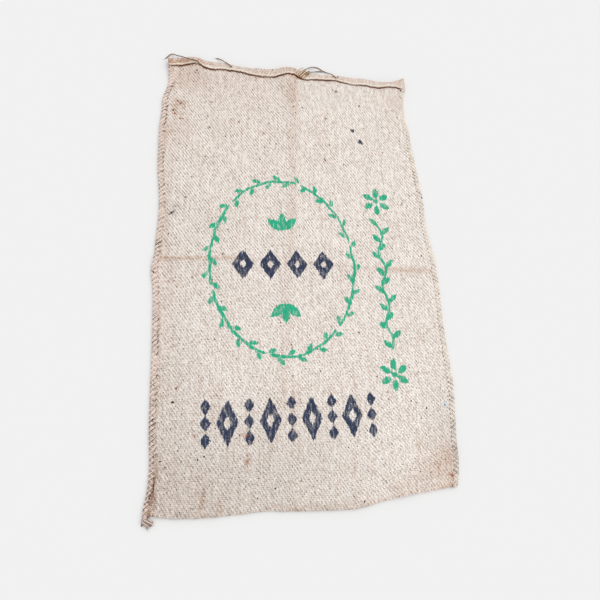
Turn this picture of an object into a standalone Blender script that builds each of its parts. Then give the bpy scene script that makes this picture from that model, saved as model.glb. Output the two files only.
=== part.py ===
"""An empty jute sack, lying flat on its back panel with its mouth at +Y.

One length of twill cloth makes the whole sack. Followed along its length it is a front hem turned
out over the front panel, the mouth's edge, the front panel, the bottom fold, the back panel, the
mouth's edge again and a back hem turned out under the back panel. Both sides are sewn over with
twine, both hems are sewn down with twine, and ends of the twine that once closed the mouth hang out.

Lengths here are millimetres. MM turns them into metres where a mesh or a curve is made.
The origin is on the ground under the middle of the sack.
"""

from collections import namedtuple
import math

import bpy
from mathutils import Vector
from mathutils.bvhtree import BVHTree
import numpy as np

MM = 0.001

# Cloth
CLOTH_THICK = 1.6
LAYER_PITCH = 3.2  # middle of the back panel to middle of the front panel
EDGE_PITCH = 2.2  # the same where the side seam presses the panels together
EDGE_PRESS_REACH = 34.0  # how far in from the side that pressing is felt
BOTTOM_PUFF = 2.6  # extra height of the bottom fold, which cloth this stiff can't close
BOTTOM_PUFF_REACH = 38.0
MOUTH_GAPE = 0.9  # extra height between the panels at the mouth
MOUTH_GAPE_REACH = 60.0
HEM_PITCH = 2.6  # middle of a panel to middle of its turned hem
BACK_HEM_DEPTH = 19.0
BACK_HEM_RISE = 32.0  # length over which the back panel climbs onto its own hem
HEM_EDGE_CLEAR = 8.0  # the climb ends this far before the hem's raw edge
GAP = 0.3  # between neighbouring pieces

# Sewing
SEAM_LEG = 12.0  # how far a side seam reaches in over each panel
SEAM_THICK = 1.2
SEAM_SIDE_GAP = 0.8  # from the cloth's edge to the seam's web
SEAM_LIFT_REACH = 42.0  # how far in from the side the seam's lower leg lifts the back panel
SEAM_PROBES = (1.2, 3.0, 6.0, 9.0, 12.0, 13.0)  # insets at which the cloth's height is read
SEAM_PROBE_STEPS = 13  # readings along the seam between one station's neighbours
HEM_TWINE_RADIUS = 0.9
HEM_TWINE_INSET = 19.0  # from the sack's side to the end of the hem twine
HEM_TWINE_POINTS = 54
HEM_TWINE_PROBES = (-8.0, -4.0, 0.0, 4.0, 8.0)  # where along the twine the cloth's height is read
TWINE_RADIUS = 1.25  # closing twine
TAIL_RADIUS = 4.0
TAIL_POINTS = 16
KNOT_POINTS = 18
ROUTE_SAMPLES = 400  # fine steps from which a route's even points are taken
RAY_START = 0.2  # metres over or under the sack

# Finished outline along the sack: height y, left side, long crease, right side
Side = namedtuple("Side", "y left crease right")
SIDES = (
    Side(-550, -355, -90, 331),
    Side(-530, -353, -90, 337),
    Side(-505, -348, -90, 342),
    Side(-470, -345, -88, 344),
    Side(-390, -348, -74, 351),
    Side(-310, -349, -60, 358),
    Side(-230, -349, -50, 355),
    Side(-150, -350, -44, 354),
    Side(-70, -353, -37, 357),
    Side(-25, -358, -33, 355),
    Side(10, -352, -30, 355),
    Side(50, -350, -26, 349),
    Side(110, -346, -21, 344),
    Side(170, -347, -17, 345),
    Side(230, -352, -13, 341),
    Side(290, -353, -10, 337),
    Side(350, -353, -7, 332),
    Side(410, -348, -3, 329),
    Side(445, -347, -1, 324),
    Side(470, -339, 0, 324),
    Side(495, -334, 1, 326),
    Side(517, -334.5, 1.5, 329),
    Side(533, -335, 2, 334),
    Side(548, -337, 2.5, 335),
    Side(563, -339, 3, 332),
    Side(582, -341, 3, 329.5),
)

# Mouth across the sack: x, raw edge of the front hem, front edge, back edge
Mouth = namedtuple("Mouth", "x hem_line front back")
MOUTHS = (
    Mouth(-341, 542, 565, 563),
    Mouth(-303, 548, 570, 566),
    Mouth(-265, 553, 572, 570),
    Mouth(-228, 543, 567, 572),
    Mouth(-198, 546, 568, 570),
    Mouth(-153, 546, 562, 560),
    Mouth(-98, 536, 559, 556),
    Mouth(-58, 538, 561, 556),
    Mouth(-23, 546, 566, 560),
    Mouth(2, 547, 567, 562),
    Mouth(22, 538, 562, 560),
    Mouth(72, 542, 559, 557),
    Mouth(127, 542, 560, 558),
    Mouth(167, 537, 559, 560),
    Mouth(207, 538, 560, 558),
    Mouth(252, 534, 553, 555),
    Mouth(287, 541, 555, 553),
    Mouth(317, 538, 565, 560),
    Mouth(335, 531, 571, 566),
)

# Bottom fold across the sack: x, lowest y
Bottom = namedtuple("Bottom", "x y")
BOTTOMS = (
    Bottom(-355, -545),
    Bottom(-328, -550),
    Bottom(-303, -554),
    Bottom(-253, -558),
    Bottom(-178, -560),
    Bottom(-103, -559),
    Bottom(-53, -564),
    Bottom(-3, -566),
    Bottom(47, -570),
    Bottom(97, -570),
    Bottom(147, -562),
    Bottom(197, -554),
    Bottom(247, -552),
    Bottom(297, -547),
    Bottom(330, -546),
)

# Folds pressed in while the sack was stored: a soft ridge from (x0, y0) to (x1, y1).
# under is the share of the height by which the back panel rises with the front one.
Ridge = namedtuple("Ridge", "name x0 y0 x1 y1 height half_width under")
RIDGES = (
    Ridge("mouth_wave", -18, 585, -14, 520, 8.0, 44, 0.75),
    Ridge("mouth_wave_left", -268, 590, -262, 545, 5.0, 38, 0.75),
    Ridge("long_crease_top", 3, 575, -7, 350, 5.5, 36, 0.65),
    Ridge("long_crease_middle", -7, 350, -33, -25, 4.5, 36, 0.65),
    Ridge("long_crease_low", -33, -25, -60, -310, 4.0, 38, 0.65),
    Ridge("long_crease_foot", -60, -310, -90, -450, 3.2, 38, 0.6),
    Ridge("foot_branch", -38, -300, -36, -452, 2.6, 30, 0.5),
    Ridge("cross_crease_left", -365, -2, -150, 2, 5.5, 34, 0.65),
    Ridge("cross_crease_middle", -150, 2, 200, -22, 3.2, 32, 0.6),
    Ridge("cross_crease_right", 200, -22, 365, -28, 4.5, 34, 0.65),
    Ridge("corner_fold", 355, -468, 190, -538, 6.0, 42, 0.65),
)

# Corners that stand off the ground: centre, reach and height
Lift = namedtuple("Lift", "name x y reach height")
LIFTS = (
    Lift("mouth_right_ear", 338, 580, 66, 8.0),
    Lift("mouth_left_corner", -345, 575, 58, 3.0),
    Lift("bottom_right_corner", 340, -550, 62, 3.5),
    Lift("bottom_left_corner", -352, -552, 46, 2.5),
)

# Slow waves of the front panel over the back one
Wave = namedtuple("Wave", "across along phase height")
WAVES = (
    Wave(310, 540, 0.4, 0.32),
    Wave(170, -420, 1.9, 0.26),
    Wave(-120, 260, 3.1, 0.18),
)

# Columns of the sheet, as shares of the way from the long crease to a side
HALF_COLUMNS = (0.0, 0.03, 0.062, 0.105, 0.19, 0.31, 0.44, 0.57, 0.70, 0.82, 0.91, 0.964, 1.0)
# Rows of each panel, closer together at folds
PANEL_FOOT, PANEL_TOP = -560.0, 560.0
PANEL_ROWS = (
    -560, -554, -545, -532, -514, -492, -468, -440, -405, -365, -320, -275, -230, -185,
    -140, -100, -65, -42, -26, -12, 2, 18, 40, 75, 120, 170, 220, 270, 320, 370, 415,
    450, 474, 492, 507, 520, 532, 542, 551, 560,
)
OWN_MOUTH_FROM = 470.0  # below this row both panels have their rows at the same places
HEM_ROWS = (0.0, 0.55, 1.0)
BOTTOM_FOLD_STEPS = 6
MOUTH_FOLD_STEPS = 5

# Closing twine: the points each strand passes through, x, y, z
THREAD_LEFT = (
    (-249.5, 548, 16.0), (-254.5, 551.2, 18.0), (-260.2, 555.4, 19.2), (-266.1, 557.6, 19.4), (-274.9, 560, 18.2),
    (-285.5, 563.8, 16.8), (-295.1, 567.6, 15.4), (-303, 571.7, 13.4), (-311, 576, 9.6), (-317.5, 581.5, 6.2),
    (-325, 585.8, 3.6), (-332.5, 584.6, 2.2), (-338.5, 578, 1.4), (-344.5, 571.5, 1.35),
)
THREAD_SHORT = (
    (-168, 552.6, 13.0), (-176.4, 559.5, 13.0), (-183.1, 564.7, 13.4), (-188, 569, 11.8), (-191.5, 575, 7.8),
    (-196.8, 582, 4.4), (-204.7, 586.8, 2.0), (-211.5, 588.2, 1.4),
)
THREAD_ARCH = (
    (13.5, 543, 17.2), (20, 551, 16.8), (28, 562, 14.6), (36, 570, 11.2), (45, 578, 8.2), (56, 586, 4.8),
    (67, 590, 2.2), (77, 588.5, 1.5), (87.5, 581.7, 1.5), (97, 576.6, 2.0), (104.5, 571.8, 4.2),
    (109.5, 566.8, 7.8), (113, 561.5, 11.6), (116.8, 556.5, 13.3), (120.4, 552.2, 14.0), (125.1, 545.4, 14.9),
)
THREAD_LOW = (
    (48.2, 558.5, 14.7), (55, 563.3, 11.0), (63, 569, 6.8), (72.5, 574.6, 3.4), (80.5, 577.8, 1.6),
    (88.5, 576.3, 1.35),
)
STRAND_OVER = (
    (7, 546, 17.7), (13, 554, 18.4), (19, 563, 16.8), (25, 571, 13.0), (31, 577, 9.2),
)
# Each strand with the number of points on its tube
Strand = namedtuple("Strand", "name points route")
STRANDS = (
    Strand("thread_left", 34, THREAD_LEFT),
    Strand("thread_short", 20, THREAD_SHORT),
    Strand("thread_arch", 44, THREAD_ARCH),
    Strand("thread_low", 16, THREAD_LOW),
    Strand("strand_over", 14, STRAND_OVER),
)
# End of the left seam's twine, curled in front of the sack's corner
SEAM_TAIL = (
    (-351.8, -544.4, 4.4), (-353.2, -553, 4.2), (-351.5, -561.5, 4.1), (-344.5, -565.5, 4.1),
    (-337.8, -561.5, 4.1), (-338.2, -555.0, 4.1),
)
# Knot and the strands twisted into it: x, y, z, radius
Knot = namedtuple("Knot", "x y z radius")
KNOT = (
    Knot(21, 538, 15.9, 1.3),
    Knot(27, 543, 16.2, 1.7),
    Knot(33, 548, 16.6, 2.6),
    Knot(38.5, 552.5, 16.5, 4.0),
    Knot(43, 555.5, 16.2, 4.1),
    Knot(47, 557.8, 15.2, 2.2),
)

# Colours, linear
JUTE = (0.68, 0.61, 0.54, 1.0)
SEAM_TWINE = (0.33, 0.22, 0.145, 1.0)
DARK_TWINE = (0.095, 0.055, 0.035, 1.0)
PALE_TWINE = (0.42, 0.35, 0.27, 1.0)


def clear_scene():
    for found in list(bpy.data.objects):
        bpy.data.objects.remove(found, do_unlink=True)


def new_collection(name):
    made = bpy.data.collections.new(name)
    bpy.context.scene.collection.children.link(made)
    return made


def make_material(name, colour, roughness):
    made = bpy.data.materials.new(name)
    made.use_nodes = True
    shader = made.node_tree.nodes["Principled BSDF"]
    shader.inputs["Base Color"].default_value = colour
    shader.inputs["Roughness"].default_value = roughness
    shader.inputs["Metallic"].default_value = 0.0
    return made


def column_of(table, field):
    return np.array([getattr(row, field) for row in table], dtype=float)


def follow(at, knots, values):
    """Smooth curve through a table: cubic pieces whose slopes are the neighbours' mean slopes."""
    at = np.clip(at, knots[0], knots[-1])
    slopes = np.gradient(values, knots)
    left = np.clip(np.searchsorted(knots, at) - 1, 0, len(knots) - 2)
    width = knots[left + 1] - knots[left]
    t = (at - knots[left]) / width
    rise = values[left + 1] - values[left]
    return (
        values[left]
        + rise * (3 * t**2 - 2 * t**3)
        + width * slopes[left] * (t - 2 * t**2 + t**3)
        + width * slopes[left + 1] * (t**3 - t**2)
    )


def ease(share):
    """0 to 1 with level ends: half of one minus the cosine."""
    return 0.5 - 0.5 * np.cos(math.pi * np.clip(share, 0.0, 1.0))


def side_at(y, field):
    return follow(y, column_of(SIDES, "y"), column_of(SIDES, field))


def cloth_side(y, field):
    """Side edge of the cloth itself, inside the seam that wraps it."""
    inset = SEAM_THICK + SEAM_SIDE_GAP
    return side_at(y, field) + (inset if field == "left" else -inset)


def mouth_at(x, field):
    return follow(x, column_of(MOUTHS, "x"), column_of(MOUTHS, field))


def bottom_at(x):
    return follow(x, column_of(BOTTOMS, "x"), column_of(BOTTOMS, "y"))


def across(share, y):
    """x of a column at height y. share is -1 at the left side, 0 on the long crease, 1 at the right."""
    crease = side_at(y, "crease")
    outer = np.where(share < 0, cloth_side(y, "left"), cloth_side(y, "right"))
    return crease + np.abs(share) * (outer - crease)


def ridge_share(ridge, x, y):
    """How much of a ridge is felt at a point: a raised cosine of the distance to its line."""
    run = np.array([ridge.x1 - ridge.x0, ridge.y1 - ridge.y0], dtype=float)
    along = ((x - ridge.x0) * run[0] + (y - ridge.y0) * run[1]) / (run @ run)
    along = np.clip(along, 0.0, 1.0)
    away = np.hypot(x - ridge.x0 - along * run[0], y - ridge.y0 - along * run[1])
    return ease(1.0 - away / ridge.half_width)


def side_nearness(x, y, reach):
    """1 under the seam's legs, easing to 0 at reach from the side."""
    inside = np.minimum(x - cloth_side(y, "left"), cloth_side(y, "right") - x)
    return ease((reach - inside) / (reach - SEAM_PROBES[-1]))


def back_rise(x, y):
    """Height of the back panel's underside over the ground, leaving its own hem out."""
    rise = (SEAM_THICK + GAP) * side_nearness(x, y, SEAM_LIFT_REACH)
    for lift in LIFTS:
        rise = np.maximum(rise, lift.height * ease(1.0 - np.hypot(x - lift.x, y - lift.y) / lift.reach))
    for ridge in RIDGES:
        rise = np.maximum(rise, ridge.under * ridge.height * ridge_share(ridge, x, y))
    return rise


def climb_on_hem(x, y):
    """Extra height of the back panel over its turned hem."""
    start = mouth_at(x, "back") - BACK_HEM_DEPTH - HEM_EDGE_CLEAR - BACK_HEM_RISE
    return HEM_PITCH * ease((y - start) / BACK_HEM_RISE)


def back_height(x, y):
    """Middle of the back panel's cloth."""
    return CLOTH_THICK / 2 + back_rise(x, y) + climb_on_hem(x, y)


def panel_pitch(x, y):
    """Distance from the middle of the back panel to the middle of the front one."""
    pitch = LAYER_PITCH + 0 * x
    for wave in WAVES:
        pitch = pitch + wave.height * np.sin(2 * math.pi * (x / wave.across + y / wave.along) + wave.phase)
    own = 0 * x
    for ridge in RIDGES:
        own = np.maximum(own, (1 - ridge.under) * ridge.height * ridge_share(ridge, x, y))
    puff = BOTTOM_PUFF * ease(1.0 - (y - bottom_at(x)) / BOTTOM_PUFF_REACH)
    gape = MOUTH_GAPE * ease(1.0 - (mouth_at(x, "front") - y) / MOUTH_GAPE_REACH)
    pressed = side_nearness(x, y, EDGE_PRESS_REACH)
    return EDGE_PITCH * pressed + (pitch + own + puff + gape) * (1.0 - pressed)


def front_height(x, y):
    """Middle of the front panel's cloth."""
    return back_height(x, y) + panel_pitch(x, y)


def sheet_rows(share):
    """Rows of the one long sheet, from the front hem's raw edge to the back hem's raw edge.

    Each row is an array of points, one for each column.
    """
    foot_x = across(share, np.full_like(share, PANEL_FOOT))
    top_x = across(share, np.full_like(share, PANEL_TOP))
    foot = bottom_at(foot_x) + (LAYER_PITCH + BOTTOM_PUFF + CLOTH_THICK) / 2
    hem_inset = (HEM_PITCH + CLOTH_THICK) / 2
    front = mouth_at(top_x, "front") - hem_inset
    back = mouth_at(top_x, "back") - hem_inset
    hem_line = mouth_at(top_x, "hem_line")
    back_hem_line = mouth_at(top_x, "back") - BACK_HEM_DEPTH
    rows = []

    def panel_y(station, mouth):
        t = (station - PANEL_FOOT) / (PANEL_TOP - PANEL_FOOT)
        own = ease((station - OWN_MOUTH_FROM) / (PANEL_TOP - OWN_MOUTH_FROM))
        shared = (front + back) / 2
        return foot + t * (shared - foot) + own * (mouth - shared)

    def add(y, height):
        x = across(share, y)
        rows.append(np.stack([x, y, height(x, y)], axis=1))

    def add_turn(centre_y, radius_at, middle_at, angles):
        for angle in angles:
            x = across(share, centre_y)
            radius = radius_at(x, centre_y)
            y = centre_y + radius * math.cos(angle)
            height = middle_at(x, centre_y) + radius * math.sin(angle)
            rows.append(np.stack([across(share, y), y, height], axis=1))

    def hem_radius(x, y):
        return 0 * x + HEM_PITCH / 2

    for t in HEM_ROWS:
        add(hem_line + t * (front - hem_line), lambda x, y: front_height(x, y) + HEM_PITCH)
    turn = [math.pi * (0.5 - step / MOUTH_FOLD_STEPS) for step in range(1, MOUTH_FOLD_STEPS)]
    add_turn(front, hem_radius, lambda x, y: front_height(x, y) + HEM_PITCH / 2, turn)
    for station in reversed(PANEL_ROWS):
        add(panel_y(station, front), front_height)
    fold = [math.pi * (0.5 + step / BOTTOM_FOLD_STEPS) for step in range(1, BOTTOM_FOLD_STEPS)]
    add_turn(
        foot,
        lambda x, y: panel_pitch(x, y) / 2,
        lambda x, y: back_height(x, y) + panel_pitch(x, y) / 2,
        fold,
    )
    for station in PANEL_ROWS:
        add(panel_y(station, back), back_height)
    add_turn(back, hem_radius, lambda x, y: back_height(x, y) - HEM_PITCH / 2, turn)
    for t in reversed(HEM_ROWS):
        add(back_hem_line + t * (back - back_hem_line), lambda x, y: back_height(x, y) - climb_on_hem(x, y))
    return np.array(rows)


def link_mesh(name, points, faces, collection, material):
    mesh = bpy.data.meshes.new(name)
    mesh.from_pydata([tuple(point) for point in points * MM], [], faces)
    mesh.validate()
    mesh.materials.append(material)
    made = bpy.data.objects.new(name, mesh)
    collection.objects.link(made)
    mesh.shade_smooth()
    return made


def grid_faces(row_count, column_count):
    return [
        (
            row * column_count + column,
            row * column_count + column + 1,
            (row + 1) * column_count + column + 1,
            (row + 1) * column_count + column,
        )
        for row in range(row_count - 1)
        for column in range(column_count - 1)
    ]


def make_cloth(rows, collection, material):
    """The sheet's middle surface as a grid, given its thickness by Solidify."""
    faces = grid_faces(rows.shape[0], rows.shape[1])
    cloth = link_mesh("sack_cloth", rows.reshape(-1, 3), faces, collection, material)
    thick = cloth.modifiers.new("thickness", "SOLIDIFY")
    thick.thickness = CLOTH_THICK * MM
    thick.offset = 0.0
    thick.use_even_offset = True
    thick.use_quality_normals = True
    return cloth


def tree_of(piece):
    bpy.context.view_layer.update()
    return BVHTree.FromObject(piece, bpy.context.evaluated_depsgraph_get())


def surface_height(tree, x, y, from_above):
    """Height of the outermost cloth over or under a point, or None beside it."""
    start = Vector((x * MM, y * MM, RAY_START if from_above else -RAY_START))
    down = Vector((0.0, 0.0, -1.0 if from_above else 1.0))
    hit = tree.ray_cast(start, down)[0]
    return None if hit is None else hit.z / MM


def heights(tree, xs, ys, from_above):
    found = [surface_height(tree, x, y, from_above) for x in xs for y in ys]
    return [height for height in found if height is not None]


def make_side_seam(name, tree, edge, field, collection, material):
    """Twine sewn over both cloth edges, as one channel round them.

    Its stations are the front panel's own rows, so its web runs straight where the cloth's edge
    does. Each leg keeps clear of the highest or lowest cloth between its neighbours, so that the
    straight stretches between stations keep clear too.
    """
    inward = 1.0 if field == "left" else -1.0
    stations = edge[:, 1]
    sections = []
    for index, y in enumerate(stations):
        before = stations[max(index - 1, 0)]
        after = stations[min(index + 1, len(stations) - 1)]
        ys = np.linspace(before, after, SEAM_PROBE_STEPS)
        web = edge[index, 0] - inward * SEAM_SIDE_GAP
        xs = [web + inward * inset for inset in SEAM_PROBES]
        upper = max(heights(tree, xs, ys, from_above=True)) + GAP
        lower = max(min(heights(tree, xs, ys, from_above=False)) - GAP, SEAM_THICK)
        # Round the channel: inset from the web's inner face, then height. The web's outer
        # corners are rounded off by one slanting face each.
        profile = (
            (SEAM_LEG, upper + SEAM_THICK),
            (0.8 * SEAM_THICK, upper + SEAM_THICK),
            (-0.7 * SEAM_THICK, upper + 0.35 * SEAM_THICK),
            (-SEAM_THICK, upper - 0.8 * SEAM_THICK),
            (-SEAM_THICK, lower + 0.8 * SEAM_THICK),
            (-0.7 * SEAM_THICK, lower - 0.35 * SEAM_THICK),
            (0.8 * SEAM_THICK, lower - SEAM_THICK),
            (SEAM_LEG, lower - SEAM_THICK),
            (SEAM_LEG, lower),
            (0.0, lower),
            (0.0, upper),
            (SEAM_LEG, upper),
        )
        sections.append([(web + inward * inset, y, z) for inset, z in profile])
    points = np.array(sections)
    count = points.shape[1]
    faces = []
    for row in range(len(stations) - 1):
        for k in range(count):
            after = (k + 1) % count
            quad = (row * count + k, row * count + after, (row + 1) * count + after, (row + 1) * count + k)
            faces.append(quad[::-1] if field == "left" else quad)
    first = tuple(range(count))
    last = tuple(range((len(stations) - 1) * count, len(stations) * count))
    faces += [first, last[::-1]] if field == "left" else [first[::-1], last]
    return link_mesh(name, points.reshape(-1, 3), faces, collection, material)


def smooth_route(points, count):
    """Points spread evenly along a smooth curve through the given ones."""
    points = np.array(points, dtype=float)
    chord = np.linalg.norm(np.diff(points, axis=0), axis=1)
    knots = np.concatenate([[0.0], np.cumsum(chord)])
    fine = np.linspace(0.0, knots[-1], ROUTE_SAMPLES)
    dense = np.stack([follow(fine, knots, points[:, k]) for k in range(points.shape[1])], axis=1)
    run = np.concatenate([[0.0], np.cumsum(np.linalg.norm(np.diff(dense[:, :3], axis=0), axis=1))])
    even = np.linspace(0.0, run[-1], count)
    return np.stack([np.interp(even, run, dense[:, k]) for k in range(points.shape[1])], axis=1)


def make_tube(name, points, radius, collection, material, widths=None):
    """A round tube along a row of points, as a curve with filled caps."""
    curve = bpy.data.curves.new(name, "CURVE")
    curve.dimensions = "3D"
    curve.bevel_depth = radius * MM
    curve.bevel_resolution = 2
    curve.use_fill_caps = True
    spline = curve.splines.new("POLY")
    spline.points.add(len(points) - 1)
    for index, point in enumerate(points):
        spline.points[index].co = (point[0] * MM, point[1] * MM, point[2] * MM, 1.0)
        spline.points[index].radius = 1.0 if widths is None else widths[index]
    curve.materials.append(material)
    made = bpy.data.objects.new(name, curve)
    collection.objects.link(made)
    return made


def make_hem_twine(name, tree, raw_edge, from_above, collection, material):
    """Twine along a hem's raw edge, lying against the panel that the hem is sewn to."""
    left = side_at(PANEL_TOP, "left") + HEM_TWINE_INSET
    right = side_at(PANEL_TOP, "right") - HEM_TWINE_INSET
    xs = np.linspace(left, right, HEM_TWINE_POINTS)
    ys = np.interp(xs, raw_edge[:, 0], raw_edge[:, 1]) - HEM_TWINE_RADIUS - 4 * GAP
    away = HEM_TWINE_RADIUS + GAP
    route = []
    for x, y in zip(xs, ys):
        near_x = [x + probe for probe in HEM_TWINE_PROBES]
        near_y = (y - HEM_TWINE_RADIUS, y, y + HEM_TWINE_RADIUS)
        found = heights(tree, near_x, near_y, from_above)
        z = max(found) + away if from_above else max(min(found) - away, away)
        route.append((x, y, z))
    return make_tube(name, route, HEM_TWINE_RADIUS, collection, material)


def build():
    clear_scene()
    sack = new_collection("jute_sack")
    jute = make_material("jute_twill", JUTE, 0.95)
    seam_twine = make_material("seam_twine", SEAM_TWINE, 0.9)
    dark_twine = make_material("hem_twine", DARK_TWINE, 0.9)
    pale_twine = make_material("closing_twine", PALE_TWINE, 0.9)

    half = np.array(HALF_COLUMNS)
    rows = sheet_rows(np.concatenate([-half[:0:-1], half]))
    cloth = make_cloth(rows, sack, jute)
    tree = tree_of(cloth)
    first = len(HEM_ROWS) + MOUTH_FOLD_STEPS - 1
    front_panel = rows[first:first + len(PANEL_ROWS)][::-1]
    make_side_seam("side_seam_left", tree, front_panel[:, 0], "left", sack, seam_twine)
    make_side_seam("side_seam_right", tree, front_panel[:, -1], "right", sack, seam_twine)
    make_hem_twine("hem_twine_front", tree, rows[0], True, sack, dark_twine)
    make_hem_twine("hem_twine_back", tree, rows[-1], False, sack, dark_twine)
    make_tube("seam_tail", smooth_route(SEAM_TAIL, TAIL_POINTS), TAIL_RADIUS, sack, seam_twine)

    knot = smooth_route(KNOT, KNOT_POINTS)
    make_tube("closing_knot", knot[:, :3], 1.0, sack, pale_twine, widths=knot[:, 3])
    for strand in STRANDS:
        route = smooth_route(strand.route, strand.points)
        make_tube(strand.name, route, TWINE_RADIUS, sack, pale_twine)


build()
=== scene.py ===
# %% [markdown]
# # An empty jute sack
#
# A jute sack is one length of heavy twill, folded once at the bottom. Its two sides are sewn over
# with jute twine, its mouth is hemmed, and ends of the twine that closed it still hang there.
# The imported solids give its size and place. This lesson dresses them: each soft solid is replaced
# by a finer piece made with numpy, and each finish is a small node tree scaled in millimetres.

# %% Load the fixed frame
from collections import namedtuple
import math

import bpy
from mathutils import Matrix, Vector
from mathutils.bvhtree import BVHTree
import numpy as np


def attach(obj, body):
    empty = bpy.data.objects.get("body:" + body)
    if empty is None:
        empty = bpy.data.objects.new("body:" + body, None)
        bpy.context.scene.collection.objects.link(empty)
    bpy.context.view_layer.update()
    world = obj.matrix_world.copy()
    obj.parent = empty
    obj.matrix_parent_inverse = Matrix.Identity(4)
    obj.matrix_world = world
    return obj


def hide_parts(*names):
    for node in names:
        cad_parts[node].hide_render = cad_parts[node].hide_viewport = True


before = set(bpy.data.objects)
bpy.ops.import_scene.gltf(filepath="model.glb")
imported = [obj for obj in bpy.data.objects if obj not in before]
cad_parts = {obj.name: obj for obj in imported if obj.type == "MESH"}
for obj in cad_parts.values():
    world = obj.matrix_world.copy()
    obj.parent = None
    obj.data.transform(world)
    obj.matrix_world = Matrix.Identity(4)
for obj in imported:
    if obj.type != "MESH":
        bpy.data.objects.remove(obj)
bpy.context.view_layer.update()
MM = 0.001  # lengths below are millimetres, unless a comment says metres

# %% [markdown]
# ## Camera
#
# The sack lies flat and the camera stands over its lower left part, tipped a little, with a wide
# lens. A camera could be turned by three angles. Here its place and three directions are given,
# because they say at once where it looks and which way is up.

# %% Camera
CAMERA_PLACE = Vector((-0.18589, -0.34414, 0.93315))  # metres
LOOKS_ALONG = Vector((0.17811, 0.24833, -0.95216))
CAMERA_UP = Vector((0.00552, 0.96737, 0.25332))
LENS_MM, FILM_MM = 24.268, 36.0

back_of_camera = -LOOKS_ALONG.normalized()
camera_right = CAMERA_UP.cross(back_of_camera).normalized()
camera_up = back_of_camera.cross(camera_right)
turned = Matrix((camera_right, camera_up, back_of_camera)).transposed().to_4x4()

lens = bpy.data.cameras.new("studio_camera")
lens.lens, lens.sensor_width, lens.clip_start = LENS_MM, FILM_MM, 0.01
camera = bpy.data.objects.new("studio_camera", lens)
camera.matrix_world = Matrix.Translation(CAMERA_PLACE) @ turned
bpy.context.scene.collection.objects.link(camera)
bpy.context.scene.camera = camera
print("camera height", round(CAMERA_PLACE.z, 3), "m")

# %% [markdown]
# ## Colours and nodes
#
# Colours are written as sRGB hex, the way a paint chart gives them, and one function turns them
# to linear light. One more function adds any node: it sets what it is told and joins the sockets
# that it is given, so that a finish reads as a short list of steps.

# %% Colour and node helpers
NODE_PREFIX = "ShaderNode"


def linear(hex_colour):
    """sRGB hex to linear light: c/12.92 when dark, else ((c + 0.055)/1.055) to the power 2.4."""
    channels = np.array([int(hex_colour[k : k + 2], 16) for k in (1, 3, 5)]) / 255.0
    bright = ((channels + 0.055) / 1.055) ** 2.4
    return (*np.where(channels <= 0.04045, channels / 12.92, bright), 1.0)


def add_node(tree, kind, *inputs, out=0, **settings):
    """Adds a node. Inputs fill its sockets in order: None skips, a socket is linked, else a value."""
    node = tree.nodes.new(NODE_PREFIX + kind)
    for name, value in settings.items():
        setattr(node, name, value)
    open_sockets = [socket for socket in node.inputs if socket.enabled]
    for socket, given in zip(open_sockets, inputs):
        if isinstance(given, bpy.types.NodeSocket):
            tree.links.new(given, socket)
        elif given is not None:
            socket.default_value = given
    return [socket for socket in node.outputs if socket.enabled][out]


def new_finish(name, roughness, specular=0.25):
    """An empty finish: its Principled shader, with the values that are the same all over."""
    made = bpy.data.materials.new(name)
    made.use_nodes = True
    shader = made.node_tree.nodes["Principled BSDF"]
    shader.inputs["Roughness"].default_value = roughness
    shader.inputs["Specular IOR Level"].default_value = specular
    return made, made.node_tree, shader


print("jute white", [round(c, 3) for c in linear("#E6DDD3")])

# %% [markdown]
# ## The sack's measurements
#
# The outline, the creases and the corners that stand off the ground are short tables, the same
# ones that the solids were built from. A smooth curve is drawn through each table, so the cloth
# that replaces the solid lies where the solid does.

# %% Outline tables
Side = namedtuple("Side", "y left crease right")
SIDES = (
    Side(-550, -355, -90, 331),
    Side(-530, -353, -90, 337),
    Side(-505, -348, -90, 342),
    Side(-470, -345, -88, 344),
    Side(-390, -348, -74, 351),
    Side(-310, -349, -60, 358),
    Side(-230, -349, -50, 355),
    Side(-150, -350, -44, 354),
    Side(-70, -353, -37, 357),
    Side(-25, -358, -33, 355),
    Side(10, -352, -30, 355),
    Side(50, -350, -26, 349),
    Side(110, -346, -21, 344),
    Side(170, -347, -17, 345),
    Side(230, -352, -13, 341),
    Side(290, -353, -10, 337),
    Side(350, -353, -7, 332),
    Side(410, -348, -3, 329),
    Side(445, -347, -1, 324),
    Side(470, -339, 0, 324),
    Side(495, -334, 1, 326),
    Side(517, -334.5, 1.5, 329),
    Side(533, -335, 2, 334),
    Side(548, -337, 2.5, 335),
    Side(563, -339, 3, 332),
    Side(582, -341, 3, 329.5),
)
Mouth = namedtuple("Mouth", "x hem_line front back")
MOUTHS = (
    Mouth(-341, 542, 565, 563),
    Mouth(-303, 548, 570, 566),
    Mouth(-265, 553, 572, 570),
    Mouth(-228, 543, 567, 572),
    Mouth(-198, 546, 568, 570),
    Mouth(-153, 546, 562, 560),
    Mouth(-98, 536, 559, 556),
    Mouth(-58, 538, 561, 556),
    Mouth(-23, 546, 566, 560),
    Mouth(2, 547, 567, 562),
    Mouth(22, 538, 562, 560),
    Mouth(72, 542, 559, 557),
    Mouth(127, 542, 560, 558),
    Mouth(167, 537, 559, 560),
    Mouth(207, 538, 560, 558),
    Mouth(252, 534, 553, 555),
    Mouth(287, 541, 555, 553),
    Mouth(317, 538, 565, 560),
    Mouth(335, 531, 571, 566),
)
Bottom = namedtuple("Bottom", "x y")
BOTTOMS = (
    Bottom(-355, -545),
    Bottom(-328, -550),
    Bottom(-303, -554),
    Bottom(-253, -558),
    Bottom(-178, -560),
    Bottom(-103, -559),
    Bottom(-53, -564),
    Bottom(-3, -566),
    Bottom(47, -570),
    Bottom(97, -570),
    Bottom(147, -562),
    Bottom(197, -554),
    Bottom(247, -552),
    Bottom(297, -547),
    Bottom(330, -546),
)

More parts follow.
